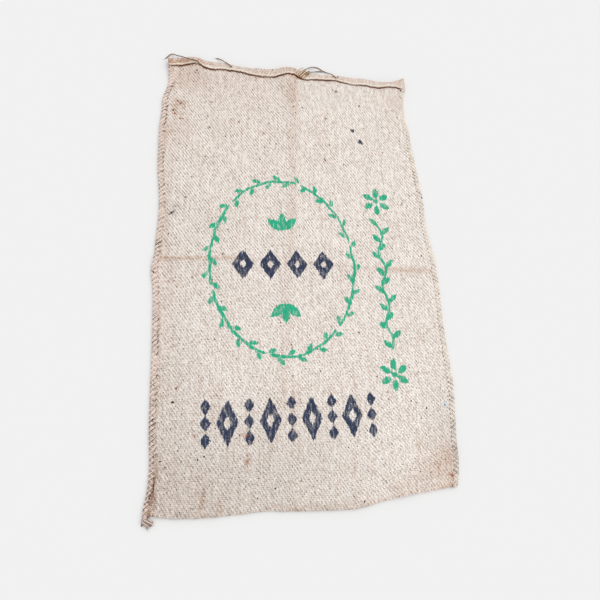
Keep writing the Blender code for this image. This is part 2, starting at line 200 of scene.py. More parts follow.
# %% Folds, corners and waves
# under: the share of a ridge by which the back panel rises too. sharp: height of the crisp crease
# on its crest. soil and reach: how brown the fold has worn, and how far to each side.
Ridge = namedtuple("Ridge", "name x0 y0 x1 y1 height half_width under sharp soil reach")
RIDGES = (
    Ridge("mouth_wave", -18, 585, -14, 520, 8.0, 44, 0.75, 0.0, 0.0, 1),
    Ridge("mouth_wave_left", -268, 590, -262, 545, 5.0, 38, 0.75, 0.0, 0.0, 1),
    Ridge("long_crease_top", 3, 575, -7, 350, 5.5, 36, 0.65, 0.6, 0.2, 11),
    Ridge("long_crease_middle", -7, 350, -33, -25, 4.5, 36, 0.65, 0.5, 0.18, 11),
    Ridge("long_crease_low", -33, -25, -60, -310, 4.0, 38, 0.65, 0.4, 0.12, 10),
    Ridge("long_crease_foot", -60, -310, -90, -450, 3.2, 38, 0.6, 0.4, 0.12, 10),
    Ridge("foot_branch", -38, -300, -36, -452, 2.6, 30, 0.5, 0.3, 0.15, 8),
    Ridge("cross_crease_left", -365, -2, -150, 2, 5.5, 34, 0.65, 0.7, 0.55, 4),
    Ridge("cross_crease_middle", -150, 2, 200, -22, 3.2, 32, 0.6, 0.5, 0.15, 7),
    Ridge("cross_crease_right", 200, -22, 365, -28, 4.5, 34, 0.65, 0.7, 0.4, 8),
    Ridge("corner_fold", 355, -468, 190, -538, 6.0, 42, 0.65, 0.3, 0.22, 24),
)
Lift = namedtuple("Lift", "name x y reach height")
LIFTS = (
    Lift("mouth_right_ear", 338, 580, 66, 8.0),
    Lift("mouth_left_corner", -345, 575, 58, 3.0),
    Lift("bottom_right_corner", 340, -550, 62, 3.5),
    Lift("bottom_left_corner", -352, -552, 46, 2.5),
)
Wave = namedtuple("Wave", "across along phase height")
WAVES = (
    Wave(310, 540, 0.4, 0.32),
    Wave(170, -420, 1.9, 0.26),
    Wave(-120, 260, 3.1, 0.18),
)
print("creases", [ridge.name for ridge in RIDGES if ridge.sharp])

# %% Cloth sizes
# A pitch is the distance from the middle of one layer of cloth to the middle of the next
CLOTH_THICK = 1.6
LAYER_PITCH = 3.2
EDGE_PITCH, EDGE_PRESS_REACH = 2.2, 34.0  # where the side seams press the panels together
BOTTOM_PUFF, BOTTOM_PUFF_REACH = 2.6, 38.0  # the bottom fold springs open
MOUTH_GAPE, MOUTH_GAPE_REACH = 0.9, 60.0
HEM_PITCH = 2.6
BACK_HEM_DEPTH, BACK_HEM_RISE, HEM_EDGE_CLEAR = 19.0, 32.0, 8.0  # the back panel climbs onto its hem
GAP = 0.3  # air between the cloth and the side seam under it
SEAM_THICK, SEAM_SIDE_GAP, SEAM_LEG, SEAM_LIFT_REACH = 1.2, 0.8, 13.0, 42.0
PANEL_FOOT, PANEL_TOP = -560.0, 560.0  # y of the panels' first and last rows
OWN_MOUTH_FROM = 470.0  # y from which each panel's rows head for its own mouth
print("panels", round(LAYER_PITCH - CLOTH_THICK, 1), "mm apart where nothing lifts them")


# %% Curves through the tables
def column_of(table, field):
    """One named column of a table, as an array."""
    return np.array([getattr(row, field) for row in table], dtype=float)


def follow(at, knots, values):
    """Cubic pieces between the knots, whose slopes are the mean slopes of the neighbours."""
    at = np.clip(at, knots[0], knots[-1])
    slopes = np.gradient(values, knots)
    left = np.clip(np.searchsorted(knots, at) - 1, 0, len(knots) - 2)
    width = knots[left + 1] - knots[left]
    t = (at - knots[left]) / width
    return (
        values[left]
        + (values[left + 1] - values[left]) * (3 * t**2 - 2 * t**3)
        + width * slopes[left] * (t - 2 * t**2 + t**3)
        + width * slopes[left + 1] * (t**3 - t**2)
    )


def ease(share):
    """0 to 1 with level ends: half of one minus the cosine."""
    return 0.5 - 0.5 * np.cos(math.pi * np.clip(share, 0.0, 1.0))


def side_at(y, field):
    """x of the left side, the long crease or the right side at height y."""
    return follow(y, column_of(SIDES, "y"), column_of(SIDES, field))


def cloth_side(y, field):
    """Edge of the cloth, inside the seam that is sewn round it."""
    inset = SEAM_THICK + SEAM_SIDE_GAP
    return side_at(y, field) + (inset if field == "left" else -inset)


def mouth_at(x, field):
    """y of the hem's raw edge, the front mouth or the back mouth at x."""
    return follow(x, column_of(MOUTHS, "x"), column_of(MOUTHS, field))


def bottom_at(x):
    """y of the bottom fold's outside at x."""
    return follow(x, column_of(BOTTOMS, "x"), column_of(BOTTOMS, "y"))


def across(share, y):
    """x of a column: share -1 is the left side, 0 the long crease and 1 the right side."""
    crease = side_at(y, "crease")
    outer = np.where(share < 0, cloth_side(y, "left"), cloth_side(y, "right"))
    return crease + np.abs(share) * (outer - crease)


print("width at half height", side_at(0.0, "right") - side_at(0.0, "left"), "mm")


# %% Heights of the two panels
def from_ridge(ridge, x, y):
    """Distance from a ridge's line, and the signed distance across it (plus is right or above)."""
    run = np.array([ridge.x1 - ridge.x0, ridge.y1 - ridge.y0], dtype=float)
    along = np.clip(((x - ridge.x0) * run[0] + (y - ridge.y0) * run[1]) / (run @ run), 0.0, 1.0)
    away = np.hypot(x - ridge.x0 - along * run[0], y - ridge.y0 - along * run[1])
    sense = 1.0 if run[0] - run[1] > 0 else -1.0
    signed = sense * ((y - ridge.y0) * run[0] - (x - ridge.x0) * run[1]) / np.hypot(*run)
    return away, signed


def ridge_share(ridge, x, y):
    """A raised cosine of the distance from the ridge's line."""
    return ease(1.0 - from_ridge(ridge, x, y)[0] / ridge.half_width)


def side_nearness(x, y, reach):
    """1 under the seam, easing to 0 at reach from the side."""
    inside = np.minimum(x - cloth_side(y, "left"), cloth_side(y, "right") - x)
    return ease((reach - inside) / (reach - SEAM_LEG))


def back_height(x, y):
    """Middle of the back panel: seam, lifted corners, ridges, and the climb onto its own hem."""
    rise = (SEAM_THICK + GAP) * side_nearness(x, y, SEAM_LIFT_REACH)
    for lift in LIFTS:
        rise = np.maximum(rise, lift.height * ease(1.0 - np.hypot(x - lift.x, y - lift.y) / lift.reach))
    for ridge in RIDGES:
        rise = np.maximum(rise, ridge.under * ridge.height * ridge_share(ridge, x, y))
    return CLOTH_THICK / 2 + rise + climb_on_hem(x, y)


def climb_on_hem(x, y):
    """0 below the back hem, easing up to one cloth pitch where the panel lies on it."""
    start = mouth_at(x, "back") - BACK_HEM_DEPTH - HEM_EDGE_CLEAR - BACK_HEM_RISE
    return HEM_PITCH * ease((y - start) / BACK_HEM_RISE)


def panel_pitch(x, y):
    """Middle of the back panel to middle of the front one."""
    pitch = LAYER_PITCH + 0 * x
    for wave in WAVES:
        pitch = pitch + wave.height * np.sin(2 * math.pi * (x / wave.across + y / wave.along) + wave.phase)
    own = 0 * x
    for ridge in RIDGES:
        own = np.maximum(own, (1 - ridge.under) * ridge.height * ridge_share(ridge, x, y))
    puff = BOTTOM_PUFF * ease(1.0 - (y - bottom_at(x)) / BOTTOM_PUFF_REACH)
    gape = MOUTH_GAPE * ease(1.0 - (mouth_at(x, "front") - y) / MOUTH_GAPE_REACH)
    pressed = side_nearness(x, y, EDGE_PRESS_REACH)
    return EDGE_PITCH * pressed + (pitch + own + puff + gape) * (1.0 - pressed)


# %% [markdown]
# ## The cloth's own unevenness
#
# The solids hold the big folds only. Up close a used sack is never smooth: stiff jute keeps small
# dents from its last load, crisp lines where it was folded, and puckers along every row of
# stitches. They could be sculpted or simulated. Here they are added formulas, because then each
# one sits exactly on the crease or seam that causes it.

# %% Small wrinkles, crisp creases and puckers
DENTS, DENT_SLOPE = 34, 0.0030  # number of wave trains, and height for each millimetre of length
DENT_SHORTEST, DENT_LONGEST = 16.0, 120.0
CREASE_WIDTH, CREASE_FADE, GROOVE_SHIFT, GROOVE_SHARE = 4.5, 12.0, 8.0, 0.6
STITCH_PITCH = 10.5
PUCKER, HEM_PUCKER_PITCH, HEM_PUCKER_REACH, SIDE_PUCKER_REACH = 0.35, 17.0, 26.0, 12.0
DEEPEST = -1.1  # the small relief sinks no further, so the panels stay apart
chance = np.random.default_rng(41)
dent_length = DENT_SHORTEST * (DENT_LONGEST / DENT_SHORTEST) ** chance.random(DENTS)
dent_heading = chance.random(DENTS) * math.pi
dent_phase = chance.random(DENTS) * 2 * math.pi


def dents(x, y):
    """Sum of sine waves in random directions, each as high as it is long times DENT_SLOPE."""
    total = 0 * x
    for length, heading, phase in zip(dent_length, dent_heading, dent_phase):
        train = (x * math.cos(heading) + y * math.sin(heading)) / length
        bend = 0.6 * np.sin(2 * math.pi * (x * math.sin(heading) - y * math.cos(heading)) / (3.3 * length))
        total = total + length * DENT_SLOPE * np.sin(2 * math.pi * train + phase + bend)
    return total


def crisp_creases(x, y):
    """A bell curve on each fold's crest, with a shallower groove on one side of it."""
    total = 0 * x
    for ridge in RIDGES:
        away, signed = from_ridge(ridge, x, y)
        past_end = np.sqrt(np.maximum(away**2 - signed**2, 0.0))
        fade = np.exp(-((past_end / CREASE_FADE) ** 2))
        crest = np.exp(-((signed / CREASE_WIDTH) ** 2))
        groove = np.exp(-(((signed + GROOVE_SHIFT) / CREASE_WIDTH) ** 2))
        total = total + ridge.sharp * fade * (crest - GROOVE_SHARE * groove)
    return total


def puckers(x, y):
    """Ripples that run out from the hem's stitches and from each stitch of the sides."""
    from_hem = np.abs(mouth_at(x, "hem_line") - y)
    hem_wave = np.sin(2 * math.pi * x / HEM_PUCKER_PITCH + 2.0 * np.sin(x / 41.0))
    hem_ripple = hem_wave * np.exp(-from_hem / HEM_PUCKER_REACH)
    inside = np.minimum(x - cloth_side(y, "left"), cloth_side(y, "right") - x)
    side_wave = np.sin(2 * math.pi * y / (2 * STITCH_PITCH))
    side_ripple = side_wave * np.exp(-np.abs(inside - SEAM_LEG) / SIDE_PUCKER_REACH)
    return PUCKER * (hem_ripple + side_ripple)


def front_height(x, y):
    """Middle of the front panel, with its small relief held flat where the seams press it."""
    loose = 1.0 - side_nearness(x, y, EDGE_PRESS_REACH)
    small = dents(x, y) * loose + crisp_creases(x, y) * np.maximum(loose, 0.5) + puckers(x, y) * loose
    return back_height(x, y) + panel_pitch(x, y) + np.maximum(small, DEEPEST)


sample_x, sample_y = np.meshgrid(np.linspace(-300, 300, 61), np.linspace(-500, 480, 99))
print("dents spread", round(float(dents(sample_x, sample_y).std()), 2), "mm")

# %% [markdown]
# ## One sheet, from hem to hem
#
# The maker cuts one length, turns both ends out as hems and folds it in the middle. So the mesh is
# one grid as well: its rows run from the front hem's raw edge over the mouth, down the front, round
# the bottom fold, up the back and out to the back hem's raw edge. Solidify would give it its
# thickness. Here both faces are offset along the grid's own normals, which leaves each face known,
# so that the print and the maps can go on the outer one alone.

# %% Rows of the sheet
COLUMNS = 137
FRONT_STEP, BACK_STEP = 5.0, 11.5
TURN_STEPS, FOLD_STEPS = 7, 9
# Along the hem from its raw edge to the mouth: share of the way, and rise of the rolled lip
HEM_LIP = ((0.0, -0.8), (0.06, -0.1), (0.14, 0.55), (0.26, 0.8), (0.42, 0.5), (0.65, 0.15), (1.0, 0.0))
BACK_HEM_SHARES = (1.0, 0.6, 0.3, 0.0)
RAW_EDGE_WANDER = 0.7

share = np.linspace(-1.0, 1.0, COLUMNS)
foot_x = across(share, np.full_like(share, PANEL_FOOT))
top_x = across(share, np.full_like(share, PANEL_TOP))
foot = bottom_at(foot_x) + (LAYER_PITCH + BOTTOM_PUFF + CLOTH_THICK) / 2
hem_inset = (HEM_PITCH + CLOTH_THICK) / 2
front_mouth = mouth_at(top_x, "front") - hem_inset
back_mouth = mouth_at(top_x, "back") - hem_inset
wander = np.sin(top_x / 3.1 + 2.0 * np.sin(top_x / 13.0)) * np.sin(top_x / 9.7 + 1.0)
hem_line = mouth_at(top_x, "hem_line") + RAW_EDGE_WANDER * wander
back_hem_line = mouth_at(top_x, "back") - BACK_HEM_DEPTH


def panel_y(station, mouth):
    """Rows spread from the fold to the mouth. Both panels share them until near the mouth."""
    t = (station - PANEL_FOOT) / (PANEL_TOP - PANEL_FOOT)
    own = ease((station - OWN_MOUTH_FROM) / (PANEL_TOP - OWN_MOUTH_FROM))
    shared = (front_mouth + back_mouth) / 2
    return foot + t * (shared - foot) + own * (mouth - shared)


def placed(y, height_of):
    """Rows of points at y, as (rows, columns, 3)."""
    x = across(share, y)
    return np.stack([x, y, height_of(x, y)], axis=-1)


def turned_round(centre_y, radius, middle, angles):
    """Part of a roll of cloth: y and z go round a circle while x stays on its column."""
    y = centre_y + radius * np.cos(angles)[:, None]
    z = middle + radius * np.sin(angles)[:, None]
    return np.stack([across(share, y), y, z], axis=-1)


def back_hem_height(x, y):
    """Middle of the back hem: the back panel's height without its climb."""
    return back_height(x, y) - climb_on_hem(x, y)


# %% The sheet's middle surface
lip_share, lip_rise = np.array(HEM_LIP).T[:, :, None]
hem_y = hem_line + lip_share * (front_mouth - hem_line)
front_hem = placed(hem_y, lambda x, y: front_height(x, y) + HEM_PITCH + lip_rise)
quarter_turns = math.pi * (0.5 - np.arange(1, TURN_STEPS) / TURN_STEPS)
front_turn_middle = front_height(top_x, front_mouth) + HEM_PITCH / 2
front_turn = turned_round(front_mouth, HEM_PITCH / 2, front_turn_middle, quarter_turns)
front_stations = np.arange(PANEL_TOP, PANEL_FOOT - 1, -FRONT_STEP)[:, None]
front_panel = placed(panel_y(front_stations, front_mouth), front_height)
fold_angles = math.pi * (0.5 + np.arange(1, FOLD_STEPS) / FOLD_STEPS)
fold_pitch = front_height(foot_x, foot) - back_height(foot_x, foot)
fold = turned_round(foot, fold_pitch / 2, back_height(foot_x, foot) + fold_pitch / 2, fold_angles)
back_stations = np.linspace(PANEL_FOOT, PANEL_TOP, round((PANEL_TOP - PANEL_FOOT) / BACK_STEP))[:, None]
back_panel = placed(panel_y(back_stations, back_mouth), back_height)
back_turn_middle = back_height(top_x, back_mouth) - HEM_PITCH / 2
back_turn = turned_round(back_mouth, HEM_PITCH / 2, back_turn_middle, quarter_turns)
back_shares = np.array(BACK_HEM_SHARES)[:, None]
back_hem = placed(back_hem_line + back_shares * (back_mouth - back_hem_line), back_hem_height)

sections = [front_hem, front_turn, front_panel, fold, back_panel, back_turn, back_hem]
sheet_points = np.concatenate(sections)
row_count = len(sheet_points)
first_row = np.cumsum([0] + [len(section) for section in sections])
front_rows = slice(first_row[2], first_row[4])
print("sheet grid", row_count, "rows x", COLUMNS, "columns")


# %% Both faces of the sheet, as one closed mesh
def grid_normals(points):
    """Cross product of the steps along the rows and along the columns, made one long."""
    normals = np.cross(np.gradient(points, axis=0), np.gradient(points, axis=1))
    return normals / np.linalg.norm(normals, axis=-1, keepdims=True)


def grid_quads(rows, columns):
    """Corner numbers of a grid's quads: each point, the one below it, then round and back."""
    index = np.arange(rows * columns).reshape(rows, columns)
    return np.stack([index[:-1, :-1], index[1:, :-1], index[1:, 1:], index[:-1, 1:]], -1).reshape(-1, 4)


def sheet_faces(rows, columns):
    """Quads of the outer face, the inner face turned the other way round, and the four rims."""
    index = np.arange(rows * columns).reshape(rows, columns)
    outer_quads = grid_quads(rows, columns)
    inner_quads = outer_quads[:, (0, 3, 2, 1)] + rows * columns
    border = np.concatenate([index[0, :-1], index[:-1, -1], index[-1, :0:-1], index[:0:-1, 0]])
    after = np.roll(border, -1)
    rims = np.stack([border, after, after + rows * columns, border + rows * columns], -1)
    return outer_quads, inner_quads, rims


def mesh_piece(name, points, faces, body="root"):
    """Links a smooth mesh made from millimetre points, riding on its body."""
    mesh = bpy.data.meshes.new(name)
    mesh.from_pydata((np.asarray(points) * MM).tolist(), [], faces)
    mesh.validate()
    mesh.shade_smooth()
    piece = bpy.data.objects.new(name, mesh)
    bpy.context.scene.collection.objects.link(piece)
    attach(piece, body)
    return piece


half_thick = 0.5 * CLOTH_THICK
normals = grid_normals(sheet_points)
outer_face, inner_face, rims = sheet_faces(row_count, COLUMNS)
both_faces = np.concatenate([sheet_points + half_thick * normals, sheet_points - half_thick * normals])
cloth = mesh_piece(
    "sack_cloth_sheet", both_faces.reshape(-1, 3), np.concatenate([outer_face, inner_face, rims]).tolist()
)
run_of_rows = np.linalg.norm(np.diff(sheet_points[:, COLUMNS // 2], axis=0), axis=-1)
along_sheet = np.concatenate([[0.0], np.cumsum(run_of_rows)])
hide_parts("sack_cloth")

# %% [markdown]
# ## Maps on the cloth
#
# The weave has to follow the cloth, not the room, so it reads a map that holds each point's place
# on the flat sheet in metres. A second map lays the faces out for a texture, the printed panel
# largest, the insides smallest. Unwrapping could make it, but a grid already knows its layout.

# %% Weave map and layout map
# Where each part of the sheet goes in the layout: low and high across, low and high along
FRONT_TILE = (0.003, 0.622, 0.003, 0.997)
BACK_TILE = (0.655, 0.930, 0.003, 0.997)
HEM_TILE = (0.628, 0.650, 0.003, 0.997)
INSIDE_TILE = (0.936, 0.985, 0.003, 0.997)
RIM_TILE = (0.990, 0.997, 0.003, 0.997)
across_sheet = across(share, 0.0)


def unit_steps(values):
    """Rising values stretched to run from 0 to 1."""
    return (values - values[0]) / (values[-1] - values[0])


def tile(low_high, across_share, along_share):
    """Points of a grid spread over one tile of the layout."""
    low_u, high_u, low_v, high_v = low_high
    u = low_u + across_share * (high_u - low_u)
    v = low_v + along_share * (high_v - low_v)
    return np.stack(np.broadcast_arrays(u, v), -1)


def corners(grid, faces_of_grid):
    """Map points of each face's corners, in the faces' own order."""
    return grid.reshape(-1, 2)[faces_of_grid].reshape(-1, 2)


def add_map(piece, name, points):
    """Gives a piece a map: one point for each corner of each face, in the faces' order."""
    layer = piece.data.uv_layers.new(name=name, do_init=False)
    layer.uv.foreach_set("vector", np.ascontiguousarray(points, dtype=np.float32).ravel())


# The outer face: front tile down to the bottom fold, back tile from there on
columns_of_sheet = unit_steps(across_sheet)[None, :]
fold_row = (first_row[3] + first_row[4]) // 2
front_along = unit_steps(along_sheet[: fold_row + 1])[:, None]
back_along = unit_steps(along_sheet[fold_row:])[:, None]
front_corners = corners(tile(FRONT_TILE, columns_of_sheet, front_along), grid_quads(fold_row + 1, COLUMNS))
back_quads = grid_quads(row_count - fold_row, COLUMNS)
back_corners = corners(tile(BACK_TILE, columns_of_sheet, back_along), back_quads)

# The inner face, with a tile of its own for the hem that shows at the mouth, and the rims
inner_flat = inner_face - row_count * COLUMNS
inner_grid = tile(INSIDE_TILE, columns_of_sheet, unit_steps(along_sheet)[:, None])
inner_corners = corners(inner_grid, inner_flat).reshape(-1, 4, 2)
hem_rows = first_row[2]
hem_grid = tile(HEM_TILE, unit_steps(along_sheet[: hem_rows + 1])[:, None], columns_of_sheet)
hem_faces = inner_flat[: hem_rows * (COLUMNS - 1)]
inner_corners[: len(hem_faces)] = hem_grid.reshape(-1, 2)[hem_faces]
rim_along = np.linspace(0.0, 1.0, len(rims) + 1)
rim_ends = ((0.0, rim_along[:-1]), (0.0, rim_along[1:]), (1.0, rim_along[1:]), (1.0, rim_along[:-1]))
rim_corners = np.stack([tile(RIM_TILE, *end) for end in rim_ends], axis=1)
layout = [front_corners, back_corners, inner_corners.reshape(-1, 2), rim_corners.reshape(-1, 2)]

weave_grid = np.stack(np.broadcast_arrays(sheet_points[..., 0], along_sheet[:, None]), -1) * MM
weave_faces = (outer_face, inner_flat, rims % (row_count * COLUMNS))
add_map(cloth, "weave", np.concatenate([corners(weave_grid, faces) for faces in weave_faces]))
add_map(cloth, "OFBake", np.concatenate(layout))
print("maps", [layer.name for layer in cloth.data.uv_layers])

# %% [markdown]
# ## The stencil print
#
# Sacks are stencilled with thick ink through a cut plate: a thin green line and solid green and
# navy shapes with slightly ragged edges. The shapes here are plain ornament: a wreath, lozenges,
# a vine and rosettes. They could be drawn as an image. Instead each vertex stores its signed
# distance to the nearest shape, less than 0 inside. A distance blends well between vertices, so the
# ink's edge stays sharp on a mesh far coarser than the line, and noise can make it ragged.

# %% Sizes of the print
OUT_OF_PRINT = 99.0  # a distance that no ink reaches
WREATH = (-48.0, -12.0, 178.0, 226.0)  # centre x, y and half axes of the oval
WREATH_LEAVES, WREATH_LEAF, WREATH_LEAF_LEAN = 46, (25.0, 10.5), 0.62  # number; length, width; radians
WREATH_STALK = 3.0  # from the oval's line to a leaf's root
ROW_OF_LOZENGES = (-48.0, -12.0, 4, 66.0)  # centre x, y, number, pitch
BIG_LOZENGE, BIG_STROKE = (26.0, 38.0), 15.0
BRIDGES, BRIDGE_REACH = 6, 6.0  # places where the stencil's plate holds together across the oval
SPRIGS = ((-48.0, 78.0, 1.0), (-48.0, -112.0, -1.0))  # root x, y and heading of three leaves
SPRIG_LEAF, SPRIG_LEAN = (48.0, 21.0), 0.85
BORDER = (-45.0, -376.0, 9, 47.0)  # centre x, y, number, pitch
BORDER_LOZENGE, BORDER_STROKE = (24.0, 50.0), 14.0
STACK_LOZENGE, STACK_HEIGHTS = (12.0, 17.0), (-35.0, 0.0, 35.0)  # small ones between the large ones
VINE_X, VINE_SWING, VINE_PITCH = 208.0, 7.0, 92.0
VINE_LOW, VINE_HIGH, VINE_STEP = -232.0, 112.0, 23.0
VINE_LEAF, VINE_LEAN, VINE_START = (30.0, 14.0), 0.75, 8.0
ROSETTES = ((208.0, 168.0), (208.0, -288.0))
PETALS, PETAL, PETAL_ROOT, ROSETTE_HEART = 6, (31.0, 16.0), 9.0, 7.0
BLOTS = ((160.0, 383.0, 5.5), (180.0, 350.0, 6.5), (184.0, 346.0, 4.5))  # spilt navy ink: x, y, radius
print("border is", (BORDER[2] - 1) * BORDER[3], "mm long")


# %% Shapes as signed distances
def leaf(x, y, root_x, root_y, heading, length, width):
    """Distance to a pointed leaf that starts at its root: its half width falls as 1 - along squared."""
    along = (x - root_x) * math.cos(heading) + (y - root_y) * math.sin(heading) - length / 2
    aside = np.abs((y - root_y) * math.cos(heading) - (x - root_x) * math.sin(heading))
    body = aside - width / 2 * (1 - (2 * along / length) ** 2)
    return np.where(np.abs(along) < length / 2, body, np.hypot(np.abs(along) - length / 2, aside))


def lozenge(x, y, half_width, half_height):
    """|x| over the half width plus |y| over the half height, less 1, scaled to millimetres."""
    scale = half_width * half_height / math.hypot(half_width, half_height)
    return (np.abs(x) / half_width + np.abs(y) / half_height - 1.0) * scale


def hollow(distance, stroke):
    """Keeps a band as wide as the stroke inside a shape's edge."""
    return np.abs(distance + stroke / 2) - stroke / 2


def line_distance(x, y):
    """Signed distance to the thin lines: to the oval by its gradient, and to the vine's stem."""
    centre_x, centre_y, a, b = WREATH
    k = np.hypot((x - centre_x) / a, (y - centre_y) / b)
    slope = np.hypot((x - centre_x) / a**2, (y - centre_y) / b**2)
    oval = k * (k - 1.0) / np.maximum(slope, 1e-4) + 1.6 * np.sin(x / 17.0) * np.sin(y / 13.0)
    stem = VINE_X - x - VINE_SWING * np.sin(2 * math.pi * y / VINE_PITCH)
    return np.where(x > (VINE_X + centre_x + a) / 2, stem, oval)


def line_shown(x, y):
    """1 where the plate is cut, easing to 0 past the vine's ends and at the oval's bridges."""
    centre_x, centre_y, a, b = WREATH
    turn = np.arctan2((y - centre_y) / b, (x - centre_x) / a)
    from_bridge = np.abs((turn * BRIDGES / (2 * math.pi) + 0.25) % 1.0 - 0.5) * 2 * math.pi / BRIDGES
    bridged = 1.0 - np.exp(-((from_bridge * (a + b) / 2 / BRIDGE_REACH) ** 2))
    stem = ease((VINE_HIGH - y) / BRIDGE_REACH) * ease((y - VINE_LOW) / BRIDGE_REACH)
    return np.where(x > (VINE_X + centre_x + a) / 2, stem, bridged)


# %% Green and navy ink
def green_distance(x, y):
    """Nearest leaf of the wreath, the sprigs and the vine, or petal of a rosette."""
    found = OUT_OF_PRINT + 0 * x
    centre_x, centre_y, a, b = WREATH
    for k in range(WREATH_LEAVES):
        turn = 2 * math.pi * (k + 0.5) / WREATH_LEAVES
        outward = 1.0 if k % 2 else -1.0
        root_x = centre_x + (a + outward * WREATH_STALK) * math.cos(turn)
        root_y = centre_y + (b + outward * WREATH_STALK) * math.sin(turn)
        heading = math.atan2(b * math.cos(turn), -a * math.sin(turn)) - outward * WREATH_LEAF_LEAN
        found = np.minimum(found, leaf(x, y, root_x, root_y, heading, *WREATH_LEAF))
    for root_x, root_y, up in SPRIGS:
        for lean in (-SPRIG_LEAN, 0.0, SPRIG_LEAN):
            found = np.minimum(found, leaf(x, y, root_x, root_y, up * (math.pi / 2 + lean), *SPRIG_LEAF))
    for k, at_y in enumerate(np.arange(VINE_LOW + VINE_START, VINE_HIGH, VINE_STEP)):
        stem_x = VINE_X - VINE_SWING * math.sin(2 * math.pi * at_y / VINE_PITCH)
        heading = VINE_LEAN if k % 2 else math.pi - VINE_LEAN
        found = np.minimum(found, leaf(x, y, stem_x, at_y, heading, *VINE_LEAF))
    for rosette_x, rosette_y in ROSETTES:
        for k in range(PETALS):
            heading = 2 * math.pi * (k + 0.5) / PETALS
            root_x = rosette_x + PETAL_ROOT * math.cos(heading)
            root_y = rosette_y + PETAL_ROOT * math.sin(heading)
            found = np.minimum(found, leaf(x, y, root_x, root_y, heading, *PETAL))
        found = np.minimum(found, np.hypot(x - rosette_x, y - rosette_y) - ROSETTE_HEART)
    return found


def navy_distance(x, y):
    """Nearest lozenge, or blot of spilt ink."""
    found = OUT_OF_PRINT + 0 * x
    centre_x, centre_y, number, pitch = ROW_OF_LOZENGES
    for k in range(number):
        at_x = x - centre_x - (k - (number - 1) / 2) * pitch
        found = np.minimum(found, hollow(lozenge(at_x, y - centre_y, *BIG_LOZENGE), BIG_STROKE))
    centre_x, centre_y, number, pitch = BORDER
    for k in range(number):
        at_x = x - centre_x - (k - (number - 1) / 2) * pitch
        if k % 2:
            shapes = [hollow(lozenge(at_x, y - centre_y, *BORDER_LOZENGE), BORDER_STROKE)]
        else:
            shapes = [lozenge(at_x, y - centre_y - up, *STACK_LOZENGE) for up in STACK_HEIGHTS]
        found = np.minimum.reduce([found, *shapes])
    for blot_x, blot_y, radius in BLOTS:
        found = np.minimum(found, np.hypot(x - blot_x, y - blot_y) - radius)
    return found
